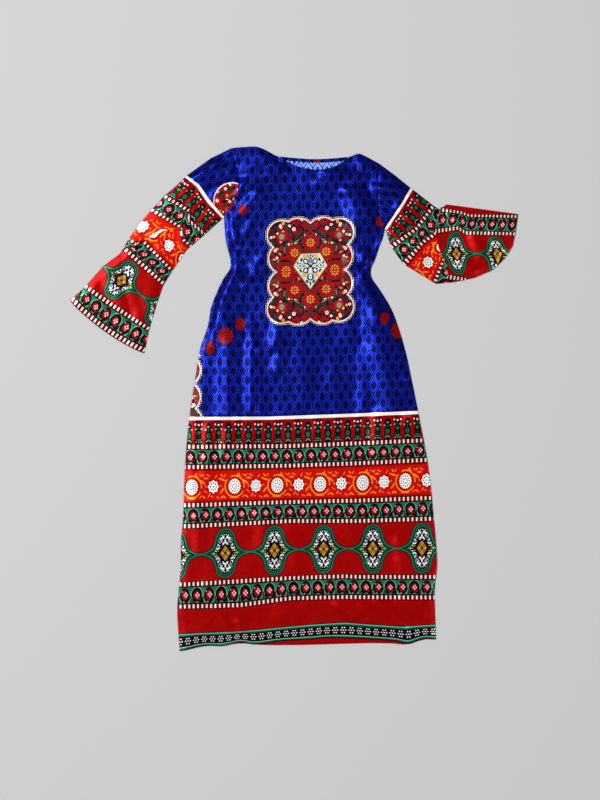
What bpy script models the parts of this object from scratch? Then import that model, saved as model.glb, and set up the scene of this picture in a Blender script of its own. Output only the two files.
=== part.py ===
"""A long printed dress with bell sleeves, laid out flat with its front up.

The wearer's right is at -X, the neck is at +Y and the cloth lies on the plane z = 0.
The origin is at the middle of the garment's box, on that plane. The tables are in
millimetres, and the mesh is written in metres.
"""

import math
from collections import namedtuple

import bpy

# Driving sizes in millimetres.
HALF_LENGTH = 704.0  # half of the way from the shoulder's highest point to the hem
HALF_SPAN = 624.0  # half of the way from cuff to cuff, as the sleeves lie
WALL = 1.5  # the cloth
GAP = 0.3  # between pieces, at a seam or where one lies on another
LOFT = 3.0  # how far the upper layer stands off the lower one
EDGE_FADE = 34.0  # the way in from a folded edge over which the loft grows
HEM_TURN = 8.0  # the turned-in edge of the back's neck
HEM_WALL = 1.0  # its cloth, and the skirt hem's
HEM_REACH = 130.0  # how far up the skirt the hem's waves go

# Mesh sizes.
COLUMNS = 40  # across the front
BACK_COLUMNS = 8  # across the back
SIDE_ROWS = 38  # from hem to underarm
ARM_ROWS = 10  # from underarm to shoulder, shared with the sleeve's sections
STRIP_STEPS = 24
SHOULDER_STEPS = 12  # along each shoulder's line
NECK_STEPS = 24
HALVINGS = 30  # of a curve, to find its height at a place
TUBE_INSET = 2.2  # from a sleeve's folded edge to where its two layers lie flat
INNER_EDGE = 1.65  # from that edge to where the two layers meet inside the tube
SHARP_BEND = math.radians(35)  # faces that meet more steeply than this are shaded sharp

MILLIMETRE = 0.001

Side = namedtuple("Side", "level left right")
Spot = namedtuple("Spot", "x y")
Section = namedtuple("Section", "name outer_x outer_y inner_x inner_y")
Fold = namedtuple("Fold", "name from_x from_y to_x to_y reach height")

# The side seams, from the hem up to just below the arms.
SIDES = [
    Side(-600, -326, 393),
    Side(-533, -322, 391),
    Side(-466, -316, 398),
    Side(-399, -316, 395),
    Side(-332, -310, 389),
    Side(-198, -305, 375),
    Side(-64, -294, 351),
    Side(70, -274, 324),
    Side(137, -263, 309),
    Side(204, -241, 289),
    Side(254, -232, 269),
    Side(304, -213, 239),
    Side(338, -196, 216),
    Side(363, -179, 214),
    Side(388, -178, 225),
    Side(421, -186, 236),
    Side(450, -192, 247),
]
HEM_CORNER = {"right": Spot(-319, -HALF_LENGTH), "left": Spot(395, -671)}

# The armholes, from underarm to shoulder, for the wearer's right and left.
ARMHOLE = {
    "right": [Spot(-196, 508), Spot(-163, 555), Spot(-157, 625), Spot(-174, 700)],
    "left": [Spot(253, 477), Spot(239, 513), Spot(234, 583), Spot(238, 656)],
}

# The upper edges, from the wearer's right to left.
SHOULDER_PEAK = HALF_LENGTH - 1.2  # the smooth edge rises a little over its spots
SHOULDER_RIGHT = [Spot(-174, 700), Spot(-137, SHOULDER_PEAK), Spot(-98, 702), Spot(-48, 677)]
SHOULDER_LEFT = [Spot(156, 676), Spot(178, 684), Spot(195, 679), Spot(238, 656)]
NECK_FRONT = [Spot(-48, 677), Spot(-26, 665), Spot(16, 647), Spot(66, 639), Spot(114, 649), Spot(156, 676)]
NECK_BACK = [Spot(-48, 677), Spot(5, 672), Spot(55, 669), Spot(105, 671), Spot(156, 676)]

# The hems, from the wearer's right to left. The back's hangs a little lower.
HEM_FRONT = [
    Spot(-319, -703),
    Spot(-252, -688),
    Spot(-202, -688),
    Spot(-149, -677),
    Spot(-110, -684),
    Spot(-40, -675),
    Spot(44, -670),
    Spot(97, -666),
    Spot(183, -668),
    Spot(281, -675),
    Spot(317, -682),
    Spot(359, -668),
    Spot(395, -670),
]
HEM_BACK = [
    Spot(-319, -HALF_LENGTH),
    Spot(-252, -690),
    Spot(-149, -682),
    Spot(-90, -686),
    Spot(16, -686),
    Spot(128, -683),
    Spot(211, -681),
    Spot(273, -682),
    Spot(317, -685),
    Spot(359, -671),
    Spot(395, -671),
]
SKIRT_HEM_ENDS = (-84.0, 262.0)
NECK_HEM_ENDS = (-40.0, 148.0)

# A sleeve's sections, from shoulder to cuff, by the ends of each across the flat tube.
# The first is the armhole, whose line its table gives.
SLEEVE_SECTIONS = {
    "right": [
        Section("armhole", -174, 700, -196, 508),
        Section("cap", -232, 672, -196.6, 507.2),
        Section("stripe", -299, 624, -197.6, 506),
        Section("upper arm", -330, 594, -221, 485),
        Section("upper arm", -363, 566, -245, 463),
        Section("above elbow", -391, 535, -268, 443),
        Section("elbow", -419, 504, -299, 417),
        Section("forearm", -458, 452, -336, 364),
        Section("forearm", -486, 405, -365, 318),
        Section("bell", -532, 371, -384, 264),
        Section("bell", -558, 342, -396, 224),
        Section("bell", -584, 312, -407, 185),
        Section("cuff", -HALF_SPAN, 276, -418, 129),
    ],
    "left": [
        Section("armhole", 238, 656, 253, 477),
        Section("cap", 281, 624, 254, 476),
        Section("stripe", 323, 590, 255.5, 474),
        Section("upper arm", 354, 566, 262, 449),
        Section("upper arm", 386, 541, 271, 423),
        Section("elbow", 399, 528, 306, 375),
        Section("elbow", 402, 527, 354, 346),
        Section("elbow", 405, 526.5, 395, 321),
        Section("bell", 408, 528, 448, 326),
        Section("bell", 411, 530, 502, 338),
        Section("bell", 414, 532.5, 552, 359),
        Section("bell", 417, 535, 588, 393),
        Section("bell", 420, 537.5, 609, 427),
        Section("bell", 422.5, 540, 617, 466),
        Section("cuff", 425, 543, HALF_SPAN, 516),
    ],
}
# How far each cuff's line swells past the straight line between its ends, and how far
# the upper layer stops short of the lower one there.
CUFF_SWELL = {"right": 16.0, "left": 0.0}
CUFF_SETBACK = {"right": 0.0, "left": 17.0}
SWELL_SHAPE = 0.6  # under 1, a cuff's line leaves its ends more steeply than a sine

# The largest folds, as soft ridges from one end to the other.
FOLDS = [
    Fold("flank right", -163, 444, -202, 276, 25, 8),
    Fold("hip right", -202, 276, -185, -36, 25, 8),
    Fold("hip right inner", -126, 159, -126, -86, 20, 6),
    Fold("hip middle", -48, 215, -51, 75, 18, 5),
    Fold("hip left", 214, 226, 231, -150, 32, 10),
    Fold("bust left", 142, 578, 189, 416, 24, 7),
    Fold("waist left", 192, 318, 236, 226, 22, 7),
    Fold("shoulder right", -163, 600, -54, 647, 16, 6),
    Fold("chest right", -154, 525, -104, 572, 16, 5),
    Fold("neck left", 75, 626, 192, 628, 14, 4),
    Fold("waist crease left", 156, 385, 228, 377, 14, 4),
    Fold("waist crease right", -123, 371, -76, 399, 14, 4),
    Fold("thigh right", -240, -50, -224, -200, 22, 6),
    Fold("knee right", -262, -330, -266, -440, 24, 5),
    Fold("knee middle", -10, -360, 16, -500, 28, 4),
    Fold("knee left", 290, -380, 306, -480, 24, 5),
    Fold("hem right", -205, -580, -177, -675, 18, 6),
    Fold("hem right inner", -143, -628, -135, -690, 16, 5),
    Fold("hem middle", 100, -561, 217, -640, 26, 5),
    Fold("hem left", 240, -561, 306, -634, 22, 6),
    Fold("sleeve cap right", -277, 628, -168, 672, 18, 7),
    Fold("elbow right", -302, 536, -313, 444, 16, 5),
    Fold("forearm right", -420, 430, -392, 350, 16, 4),
    Fold("bell right", -500, 330, -478, 225, 22, 5),
    Fold("cuff corner right", -466, 142, -424, 150, 14, 7),
    Fold("sleeve cap left", 234, 592, 300, 569, 15, 6),
    Fold("elbow crease left", 398, 500, 394, 462, 16, 6),
    Fold("elbow crease left lower", 394, 462, 412, 404, 16, 6),
    Fold("bell left", 490, 478, 520, 400, 20, 5),
    Fold("bell left outer", 560, 470, 590, 420, 16, 4),
]

# Base colour, roughness.
BLUE_CLOTH = ((0.010, 0.008, 0.240, 1.0), 0.45)
RED_CLOTH = ((0.420, 0.004, 0.008, 1.0), 0.45)


def smooth_curve(spots, fraction):
    """The place at a fraction, from 0 to 1, of a smooth curve through the spots."""
    ways = [math.hypot(b.x - a.x, b.y - a.y) for a, b in zip(spots, spots[1:])]
    along = min(max(fraction, 0.0), 1.0) * sum(ways)
    i = 0
    while i < len(ways) - 1 and along > ways[i]:
        along -= ways[i]
        i += 1
    before = spots[max(i - 1, 0)]
    after = spots[min(i + 2, len(spots) - 1)]
    a, b = spots[i], spots[i + 1]
    f = along / ways[i]
    place = []
    for low, start, end, high in zip(before, a, b, after):
        # Tangents of half the chord over the neighbours keep the curve near its spots.
        tangent_a = (end - low) / 2 if a is not before else end - start
        tangent_b = (high - start) / 2 if b is not after else end - start
        place.append(
            start * (2 * f**3 - 3 * f**2 + 1)
            + tangent_a * (f**3 - 2 * f**2 + f)
            + end * (3 * f**2 - 2 * f**3)
            + tangent_b * (f**3 - f**2)
        )
    return Spot(*place)


def height_at(spots, x):
    """The y of a curve that runs across the garment, at x."""
    low, high = 0.0, 1.0
    for _ in range(HALVINGS):
        middle = (low + high) / 2
        if smooth_curve(spots, middle).x < x:
            low = middle
        else:
            high = middle
    return smooth_curve(spots, (low + high) / 2).y


def smooth_step(value):
    value = min(max(value, 0.0), 1.0)
    return value * value * (3 - 2 * value)


def between(a, b, fraction):
    return a + (b - a) * fraction


def distance_to_line(x, y, a, b):
    """How far (x, y) is from the straight line from a to b."""
    dx, dy = b.x - a.x, b.y - a.y
    f = ((x - a.x) * dx + (y - a.y) * dy) / (dx * dx + dy * dy)
    f = min(max(f, 0.0), 1.0)
    return math.hypot(x - a.x - f * dx, y - a.y - f * dy)


def side_spots(hand):
    """The side seam of one hand, from the hem's corner to the underarm."""
    column = "left" if hand == "right" else "right"
    levels = [Spot(getattr(side, column), side.level) for side in SIDES]
    return [HEM_CORNER[hand]] + levels + [ARMHOLE[hand][0]]


def folded_edges():
    """The lines where the upper layer turns round into the lower one."""
    lines = [side_spots("right"), side_spots("left"), SHOULDER_RIGHT, SHOULDER_LEFT]
    for sections in SLEEVE_SECTIONS.values():
        lines.append([Spot(s.outer_x, s.outer_y) for s in sections])
        lines.append([Spot(s.inner_x, s.inner_y) for s in sections])
    return [pair for line in lines for pair in zip(line, line[1:])]


FOLDED_EDGES = folded_edges()


def fold_height(x, y):
    total = 0.0
    for fold in FOLDS:
        start = Spot(fold.from_x, fold.from_y)
        end = Spot(fold.to_x, fold.to_y)
        away = distance_to_line(x, y, start, end) / fold.reach
        if away < 1.0:
            total += fold.height * (0.5 + 0.5 * math.cos(math.pi * away))
    return total


def upper_layer(x, y):
    """The lower face of the upper layer above (x, y)."""
    edge = min(distance_to_line(x, y, a, b) for a, b in FOLDED_EDGES)
    return WALL + GAP + smooth_step(edge / EDGE_FADE) * (LOFT + fold_height(x, y))


def panel_plan(hem, neck, columns):
    """Rows of places over a body panel, from the hem up and from right to left."""
    edge_right = side_spots("right")
    edge_left = side_spots("left")
    top = (
        [smooth_curve(SHOULDER_RIGHT, i / SHOULDER_STEPS) for i in range(SHOULDER_STEPS)]
        + [smooth_curve(neck, i / NECK_STEPS) for i in range(NECK_STEPS)]
        + [smooth_curve(SHOULDER_LEFT, i / SHOULDER_STEPS) for i in range(SHOULDER_STEPS + 1)]
    )
    rows = []
    for i in range(SIDE_ROWS + ARM_ROWS + 1):
        if i < SIDE_ROWS:
            start = smooth_curve(edge_right, i / SIDE_ROWS)
            end = smooth_curve(edge_left, i / SIDE_ROWS)
        else:
            start = smooth_curve(ARMHOLE["right"], (i - SIDE_ROWS) / ARM_ROWS)
            end = smooth_curve(ARMHOLE["left"], (i - SIDE_ROWS) / ARM_ROWS)
        row = []
        for j in range(columns + 1):
            f = j / columns
            x = between(start.x, end.x, f)
            y = between(start.y, end.y, f)
            # The hem's waves fade up the skirt, and the neck's curve fades down the chest.
            hem_x = between(hem[0].x, hem[-1].x, f)
            hem_wave = height_at(hem, hem_x) - between(hem[0].y, hem[-1].y, f)
            y += hem_wave * (1 - smooth_step((y + HALF_LENGTH) / HEM_REACH))
            top_x = between(top[0].x, top[-1].x, f)
            top_rise = height_along(top, top_x) - between(top[0].y, top[-1].y, f)
            y += top_rise * max(0.0, (i - SIDE_ROWS) / ARM_ROWS) ** 2
            row.append(Spot(x, y))
        rows.append(row)
    return rows


def height_along(line, x):
    """The y of a line of short straight stretches, at x."""
    for a, b in zip(line, line[1:]):
        if x <= b.x:
            return between(a.y, b.y, (x - a.x) / (b.x - a.x))
    return line[-1].y


def cloth_object(name, points, faces, finish):
    """One named object with its own material, from points in millimetres."""
    mesh = bpy.data.meshes.new(name)
    mesh.from_pydata([tuple(c * MILLIMETRE for c in p) for p in points], [], faces)
    mesh.update()
    mesh.shade_smooth()
    mesh.set_sharp_from_angle(angle=SHARP_BEND)
    colour, roughness = finish
    material = bpy.data.materials.new(name)
    material.use_nodes = True
    shader = material.node_tree.nodes["Principled BSDF"]
    shader.inputs["Base Color"].default_value = colour
    shader.inputs["Roughness"].default_value = roughness
    shader.inputs["Metallic"].default_value = 0.0
    mesh.materials.append(material)
    thing = bpy.data.objects.new(name, mesh)
    bpy.context.scene.collection.objects.link(thing)
    return thing


def wall_over(name, plan, lower_face, thickness, finish):
    """A closed wall of cloth over rows of places, with its lower face at a given height."""
    across = len(plan[0])
    lower = [(p.x, p.y, lower_face(p.x, p.y)) for row in plan for p in row]
    upper = [(x, y, z + thickness) for x, y, z in lower]
    count = len(lower)
    faces = []
    for i in range(len(plan) - 1):
        for j in range(across - 1):
            a = i * across + j
            b, c, d = a + 1, a + across + 1, a + across
            faces.append((a, d, c, b))
            faces.append((a + count, b + count, c + count, d + count))
    last = (len(plan) - 1) * across
    rim = (
        [(j, j + 1) for j in range(across - 1)]
        + [(i * across + across - 1, (i + 1) * across + across - 1) for i in range(len(plan) - 1)]
        + [(last + j + 1, last + j) for j in range(across - 1)]
        + [((i + 1) * across, i * across) for i in range(len(plan) - 1)]
    )
    faces += [(a, b, b + count, a + count) for a, b in rim]
    return cloth_object(name, lower + upper, faces, finish)


def section_places(hand, number, upper):
    """The places across one section of a sleeve, from its outer end to its inner one."""
    sections = SLEEVE_SECTIONS[hand]
    if number == 0:
        return armhole_places(hand)
    section = sections[number]
    start = Spot(section.outer_x, section.outer_y)
    end = Spot(section.inner_x, section.inner_y)
    width = math.hypot(end.x - start.x, end.y - start.y)
    # The way from cuff to shoulder, square to the section.
    turn = 1 if hand == "right" else -1
    back = Spot(-turn * (end.y - start.y) / width, turn * (end.x - start.x) / width)
    bow = 0.0
    if number == len(sections) - 1:
        bow = (CUFF_SETBACK[hand] if upper else 0.0) - CUFF_SWELL[hand]
    places = []
    for k in range(ARM_ROWS + 1):
        f = k / ARM_ROWS
        swell = bow * math.sin(math.pi * f) ** SWELL_SHAPE if 0 < k < ARM_ROWS else 0.0
        places.append(
            Spot(
                between(start.x, end.x, f) + back.x * swell,
                between(start.y, end.y, f) + back.y * swell,
            )
        )
    return places


def armhole_places(hand):
    """The sleeve's edge at the armhole, which keeps the seam's gap to the body."""
    outward = -1 if hand == "right" else 1
    places = []
    for k in range(ARM_ROWS, -1, -1):
        here = smooth_curve(ARMHOLE[hand], k / ARM_ROWS)
        above = smooth_curve(ARMHOLE[hand], min(k + 1, ARM_ROWS) / ARM_ROWS)
        below = smooth_curve(ARMHOLE[hand], max(k - 1, 0) / ARM_ROWS)
        way = math.hypot(above.x - below.x, above.y - below.y)
        places.append(
            Spot(
                here.x + outward * GAP * abs(above.y - below.y) / way,
                here.y - outward * GAP * (above.x - below.x) / way,
            )
        )
    return places


def shifted(a, b, distance):
    """The place a given distance from a towards b."""
    way = math.hypot(b.x - a.x, b.y - a.y)
    return Spot(between(a.x, b.x, distance / way), between(a.y, b.y, distance / way))


def sleeve_ring(hand, number):
    """One section's outer and inner loops, each once round the flat tube."""
    over = section_places(hand, number, True)
    under = section_places(hand, number, False)
    middle = WALL + GAP / 2
    loops = []
    for depth, top_rise, floor in ((0.0, WALL, 0.0), (INNER_EDGE, 0.0, WALL)):
        first = shifted(over[0], over[1], depth) if depth else over[0]
        last = shifted(over[-1], over[-2], depth) if depth else over[-1]
        flat = TUBE_INSET + depth
        upper = [shifted(over[0], over[1], flat)] + over[1:-1] + [shifted(over[-1], over[-2], flat)]
        lower = [shifted(under[0], under[1], flat)] + under[1:-1] + [shifted(under[-1], under[-2], flat)]
        loop = [(first.x, first.y, middle)]
        loop += [(p.x, p.y, upper_layer(p.x, p.y) + top_rise) for p in upper]
        loop += [(last.x, last.y, middle)]
        loop += [(p.x, p.y, floor) for p in reversed(lower)]
        loops.append(loop)
    return loops


def sleeve(name, hand, finish):
    """A sleeve as one flat tube, open at the armhole and at the cuff."""
    rings = [sleeve_ring(hand, i) for i in range(len(SLEEVE_SECTIONS[hand]))]
    size = len(rings[0][0])
    points = [p for ring in rings for loop in ring for p in loop]
    faces = []

    def index(ring, loop, place):
        return (ring * 2 + loop) * size + place % size

    for i in range(len(rings) - 1):
        for k in range(size):
            faces.append((index(i, 0, k), index(i + 1, 0, k), index(i + 1, 0, k + 1), index(i, 0, k + 1)))
            faces.append((index(i, 1, k), index(i, 1, k + 1), index(i + 1, 1, k + 1), index(i + 1, 1, k)))
    last = len(rings) - 1
    for k in range(size):
        faces.append((index(0, 0, k), index(0, 0, k + 1), index(0, 1, k + 1), index(0, 1, k)))
        faces.append((index(last, 0, k), index(last, 1, k), index(last, 1, k + 1), index(last, 0, k + 1)))
    if hand == "left":
        faces = [tuple(reversed(face)) for face in faces]
    return cloth_object(name, points, faces, finish)


def hem_strip(name, ends, outer, inner, widest, finish):
    """A turned-in edge that shows past the front: it lies on the back, beside the front's edge."""
    toward = 1 if height_at(inner, sum(ends) / 2) > height_at(outer, sum(ends) / 2) else -1
    plan = [[], []]
    for i in range(STRIP_STEPS + 1):
        x = between(ends[0], ends[1], i / STRIP_STEPS)
        edge = height_at(outer, x)
        front = height_at(inner, x) - toward * 2 * GAP
        width = min(widest, abs(front - edge))
        low, high = sorted((edge, edge + toward * width))
        plan[0].append(Spot(x, low))
        plan[1].append(Spot(x, high))
    return wall_over(name, plan, lambda x, y: WALL + GAP, HEM_WALL, finish)


def build():
    for thing in list(bpy.data.objects):
        bpy.data.objects.remove(thing, do_unlink=True)
    back_plan = panel_plan(HEM_BACK, NECK_BACK, BACK_COLUMNS)
    wall_over("back", back_plan, lambda x, y: 0.0, WALL, BLUE_CLOTH)
    front_plan = panel_plan(HEM_FRONT, NECK_FRONT, COLUMNS)
    wall_over("front", front_plan, upper_layer, WALL, BLUE_CLOTH)
    sleeve("sleeve_right", "right", RED_CLOTH)
    sleeve("sleeve_left", "left", RED_CLOTH)
    hem_strip("neck_hem", NECK_HEM_ENDS, NECK_BACK, NECK_FRONT, HEM_TURN, BLUE_CLOTH)
    hem_strip("skirt_hem", SKIRT_HEM_ENDS, HEM_BACK, HEM_FRONT, 2 * HEM_TURN, RED_CLOTH)


build()
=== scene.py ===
"""The looks of a long printed dress with bell sleeves, laid out flat with its front up.

Each panel is a thin shell on the form of its solid. The print is charted in millimetres of
cloth: u runs across the cloth and v runs down it from the white stripe, and each printed band
is a material of its own on the faces between its two print lines. The tables are in
millimetres, and the meshes are written in metres.
"""

import math
from collections import namedtuple

import bpy
import numpy as np
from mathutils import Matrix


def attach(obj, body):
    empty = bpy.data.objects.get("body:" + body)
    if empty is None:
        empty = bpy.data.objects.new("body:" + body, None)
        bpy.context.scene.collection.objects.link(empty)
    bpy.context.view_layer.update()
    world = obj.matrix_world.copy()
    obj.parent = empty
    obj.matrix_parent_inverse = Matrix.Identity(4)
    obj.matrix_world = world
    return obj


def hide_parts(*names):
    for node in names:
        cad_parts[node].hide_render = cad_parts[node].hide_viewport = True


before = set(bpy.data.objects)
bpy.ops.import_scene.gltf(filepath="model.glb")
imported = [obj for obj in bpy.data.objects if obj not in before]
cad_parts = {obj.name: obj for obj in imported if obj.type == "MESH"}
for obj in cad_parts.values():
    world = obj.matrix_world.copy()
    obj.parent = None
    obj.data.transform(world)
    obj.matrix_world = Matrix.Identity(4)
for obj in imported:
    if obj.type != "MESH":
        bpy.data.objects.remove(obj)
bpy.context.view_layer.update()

MILLIMETRE = 0.001

# The laid-out form, as the solids have it.
HALF_LENGTH = 704.0
WALL = 1.5  # a solid's cloth
GAP = 0.3
LOFT = 3.0
EDGE_FADE = 34.0
HEM_REACH = 130.0  # how far up the skirt the hem's waves go

# The shells.
CLOTH = 0.7  # thickness of the cloth that shows
UNDER = 1.0  # top of the lower layers, which lie on the floor
ROLL = 5.0  # radius of a folded edge
CREASE_FADE = 22.0  # the way in from an edge over which the creases grow
LARGE_SHARE = 0.2  # how much of a large fold is left when the finer creases are added
CREASE_WIDER = 1.9
CREASE_HIGHER = 1.1
HIGHEST = 19.0  # which the creases don't pass, even where they cross
SEAM_DEPTH = 0.9  # the dip at an armhole's seam
SEAM_REACH = 4.0
COLUMNS = 120  # across the front
BACK_COLUMNS = 40
ROW_STEP = 5.0  # between rows of the front
BACK_ROW_STEP = 12.0
HEM_ROWS = 3  # of the back, whose turned-in edge shows the right side
ARM_ROWS = 38
SLEEVE_STEP = 4.0

Side = namedtuple("Side", "level left right")
Spot = namedtuple("Spot", "x y")
Fold = namedtuple("Fold", "name from_x from_y to_x to_y reach height")
PrintLine = namedtuple("PrintLine", "v spots")
SleeveLine = namedtuple("SleeveLine", "v u rate hidden outer over under inner")
Zone = namedtuple("Zone", "print top bottom phase")

# The side seams, from the hem up to just below the arms.
SIDES = [
    Side(-600, -326, 393),
    Side(-533, -322, 391),
    Side(-466, -316, 398),
    Side(-399, -316, 395),
    Side(-332, -310, 389),
    Side(-198, -305, 375),
    Side(-64, -294, 351),
    Side(70, -274, 324),
    Side(137, -263, 309),
    Side(204, -241, 289),
    Side(254, -232, 269),
    Side(304, -213, 239),
    Side(338, -196, 216),
    Side(363, -179, 214),
    Side(388, -178, 225),
    Side(421, -186, 236),
    Side(450, -192, 247),
]
HEM_CORNER = {"right": Spot(-319, -HALF_LENGTH), "left": Spot(395, -671)}
ARMHOLE = {
    "right": [Spot(-196, 508), Spot(-163, 555), Spot(-157, 625), Spot(-174, 700)],
    "left": [Spot(253, 477), Spot(239, 513), Spot(234, 583), Spot(238, 656)],
}
SHOULDER_RIGHT = [Spot(-174, 700), Spot(-137, HALF_LENGTH - 1.2), Spot(-98, 702), Spot(-48, 677)]
SHOULDER_LEFT = [Spot(156, 676), Spot(178, 684), Spot(195, 679), Spot(238, 656)]
NECK_FRONT = [
    Spot(-48, 677),
    Spot(-26, 665),
    Spot(16, 647),
    Spot(66, 639),
    Spot(114, 649),
    Spot(156, 676),
]
NECK_BACK = [Spot(-48, 677), Spot(5, 672), Spot(55, 669), Spot(105, 671), Spot(156, 676)]
HEM_FRONT = [
    Spot(-319, -703),
    Spot(-252, -688),
    Spot(-202, -688),
    Spot(-149, -677),
    Spot(-110, -684),
    Spot(-40, -675),
    Spot(44, -670),
    Spot(97, -666),
    Spot(183, -668),
    Spot(281, -675),
    Spot(317, -682),
    Spot(359, -668),
    Spot(395, -670),
]
HEM_BACK = [
    Spot(-319, -HALF_LENGTH),
    Spot(-252, -690),
    Spot(-149, -682),
    Spot(-90, -686),
    Spot(16, -686),
    Spot(128, -683),
    Spot(211, -681),
    Spot(273, -682),
    Spot(317, -685),
    Spot(359, -671),
    Spot(395, -671),
]
SKIRT_HEM_ENDS = (-84.0, 262.0)
NECK_HEM_ENDS = (-40.0, 148.0)

# A sleeve's two folded edges, from shoulder to cuff.
SLEEVE_OUTER = {
    "right": [
        Spot(-174, 700),
        Spot(-232, 672),
        Spot(-299, 624),
        Spot(-330, 594),
        Spot(-363, 566),
        Spot(-391, 535),
        Spot(-419, 504),
        Spot(-458, 452),
        Spot(-486, 405),
        Spot(-532, 371),
        Spot(-558, 342),
        Spot(-584, 312),
        Spot(-624, 276),
    ],
    "left": [
        Spot(238, 656),
        Spot(281, 624),
        Spot(323, 590),
        Spot(354, 566),
        Spot(386, 541),
        Spot(402, 527),
        Spot(425, 543),
    ],
}
SLEEVE_INNER = {
    "right": [
        Spot(-196, 508),
        Spot(-197.6, 506),
        Spot(-221, 485),
        Spot(-245, 463),
        Spot(-268, 443),
        Spot(-299, 417),
        Spot(-336, 364),
        Spot(-365, 318),
        Spot(-384, 264),
        Spot(-396, 224),
        Spot(-407, 185),
        Spot(-418, 129),
    ],
    "left": [
        Spot(253, 477),
        Spot(255.5, 474),
        Spot(262, 449),
        Spot(271, 423),
        Spot(306, 375),
        Spot(354, 346),
        Spot(395, 321),
        Spot(448, 326),
        Spot(502, 338),
        Spot(552, 359),
        Spot(588, 393),
        Spot(609, 427),
        Spot(617, 466),
        Spot(624, 516),
    ],
}
CUFF_SWELL = 16.0  # how far the right cuff's line swells past a straight one
SWELL_SHAPE = 0.6

# The largest folds, which the solids have too, as soft ridges from one end to the other.
FOLDS = [
    Fold("flank right", -163, 444, -202, 276, 25, 8),
    Fold("hip right", -202, 276, -185, -36, 25, 8),
    Fold("hip right inner", -126, 159, -126, -86, 20, 6),
    Fold("hip middle", -48, 215, -51, 75, 18, 5),
    Fold("hip left", 214, 226, 231, -150, 32, 10),
    Fold("bust left", 142, 578, 189, 416, 24, 7),
    Fold("waist left", 192, 318, 236, 226, 22, 7),
    Fold("shoulder right", -163, 600, -54, 647, 16, 6),
    Fold("chest right", -154, 525, -104, 572, 16, 5),
    Fold("neck left", 75, 626, 192, 628, 14, 4),
    Fold("waist crease left", 156, 385, 228, 377, 14, 4),
    Fold("waist crease right", -123, 371, -76, 399, 14, 4),
    Fold("thigh right", -240, -50, -224, -200, 22, 6),
    Fold("knee right", -262, -330, -266, -440, 24, 5),
    Fold("knee middle", -10, -360, 16, -500, 28, 4),
    Fold("knee left", 290, -380, 306, -480, 24, 5),
    Fold("hem right", -205, -580, -177, -675, 18, 6),
    Fold("hem right inner", -143, -628, -135, -690, 16, 5),
    Fold("hem middle", 100, -561, 217, -640, 26, 5),
    Fold("hem left", 240, -561, 306, -634, 22, 6),
    Fold("sleeve cap right", -277, 628, -168, 672, 18, 7),
    Fold("elbow right", -302, 536, -313, 444, 16, 5),
    Fold("forearm right", -420, 430, -392, 350, 16, 2.5),
    Fold("bell right", -500, 330, -478, 225, 22, 3),
    Fold("cuff corner right", -466, 142, -424, 150, 14, 7),
    Fold("sleeve cap left", 234, 592, 300, 569, 15, 6),
    Fold("elbow crease left", 398, 500, 394, 462, 16, 3),
    Fold("elbow crease left lower", 394, 462, 412, 404, 16, 4),
    Fold("bell left", 490, 478, 520, 400, 20, 5),
    Fold("bell left outer", 560, 470, 590, 420, 16, 4),
]

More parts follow.
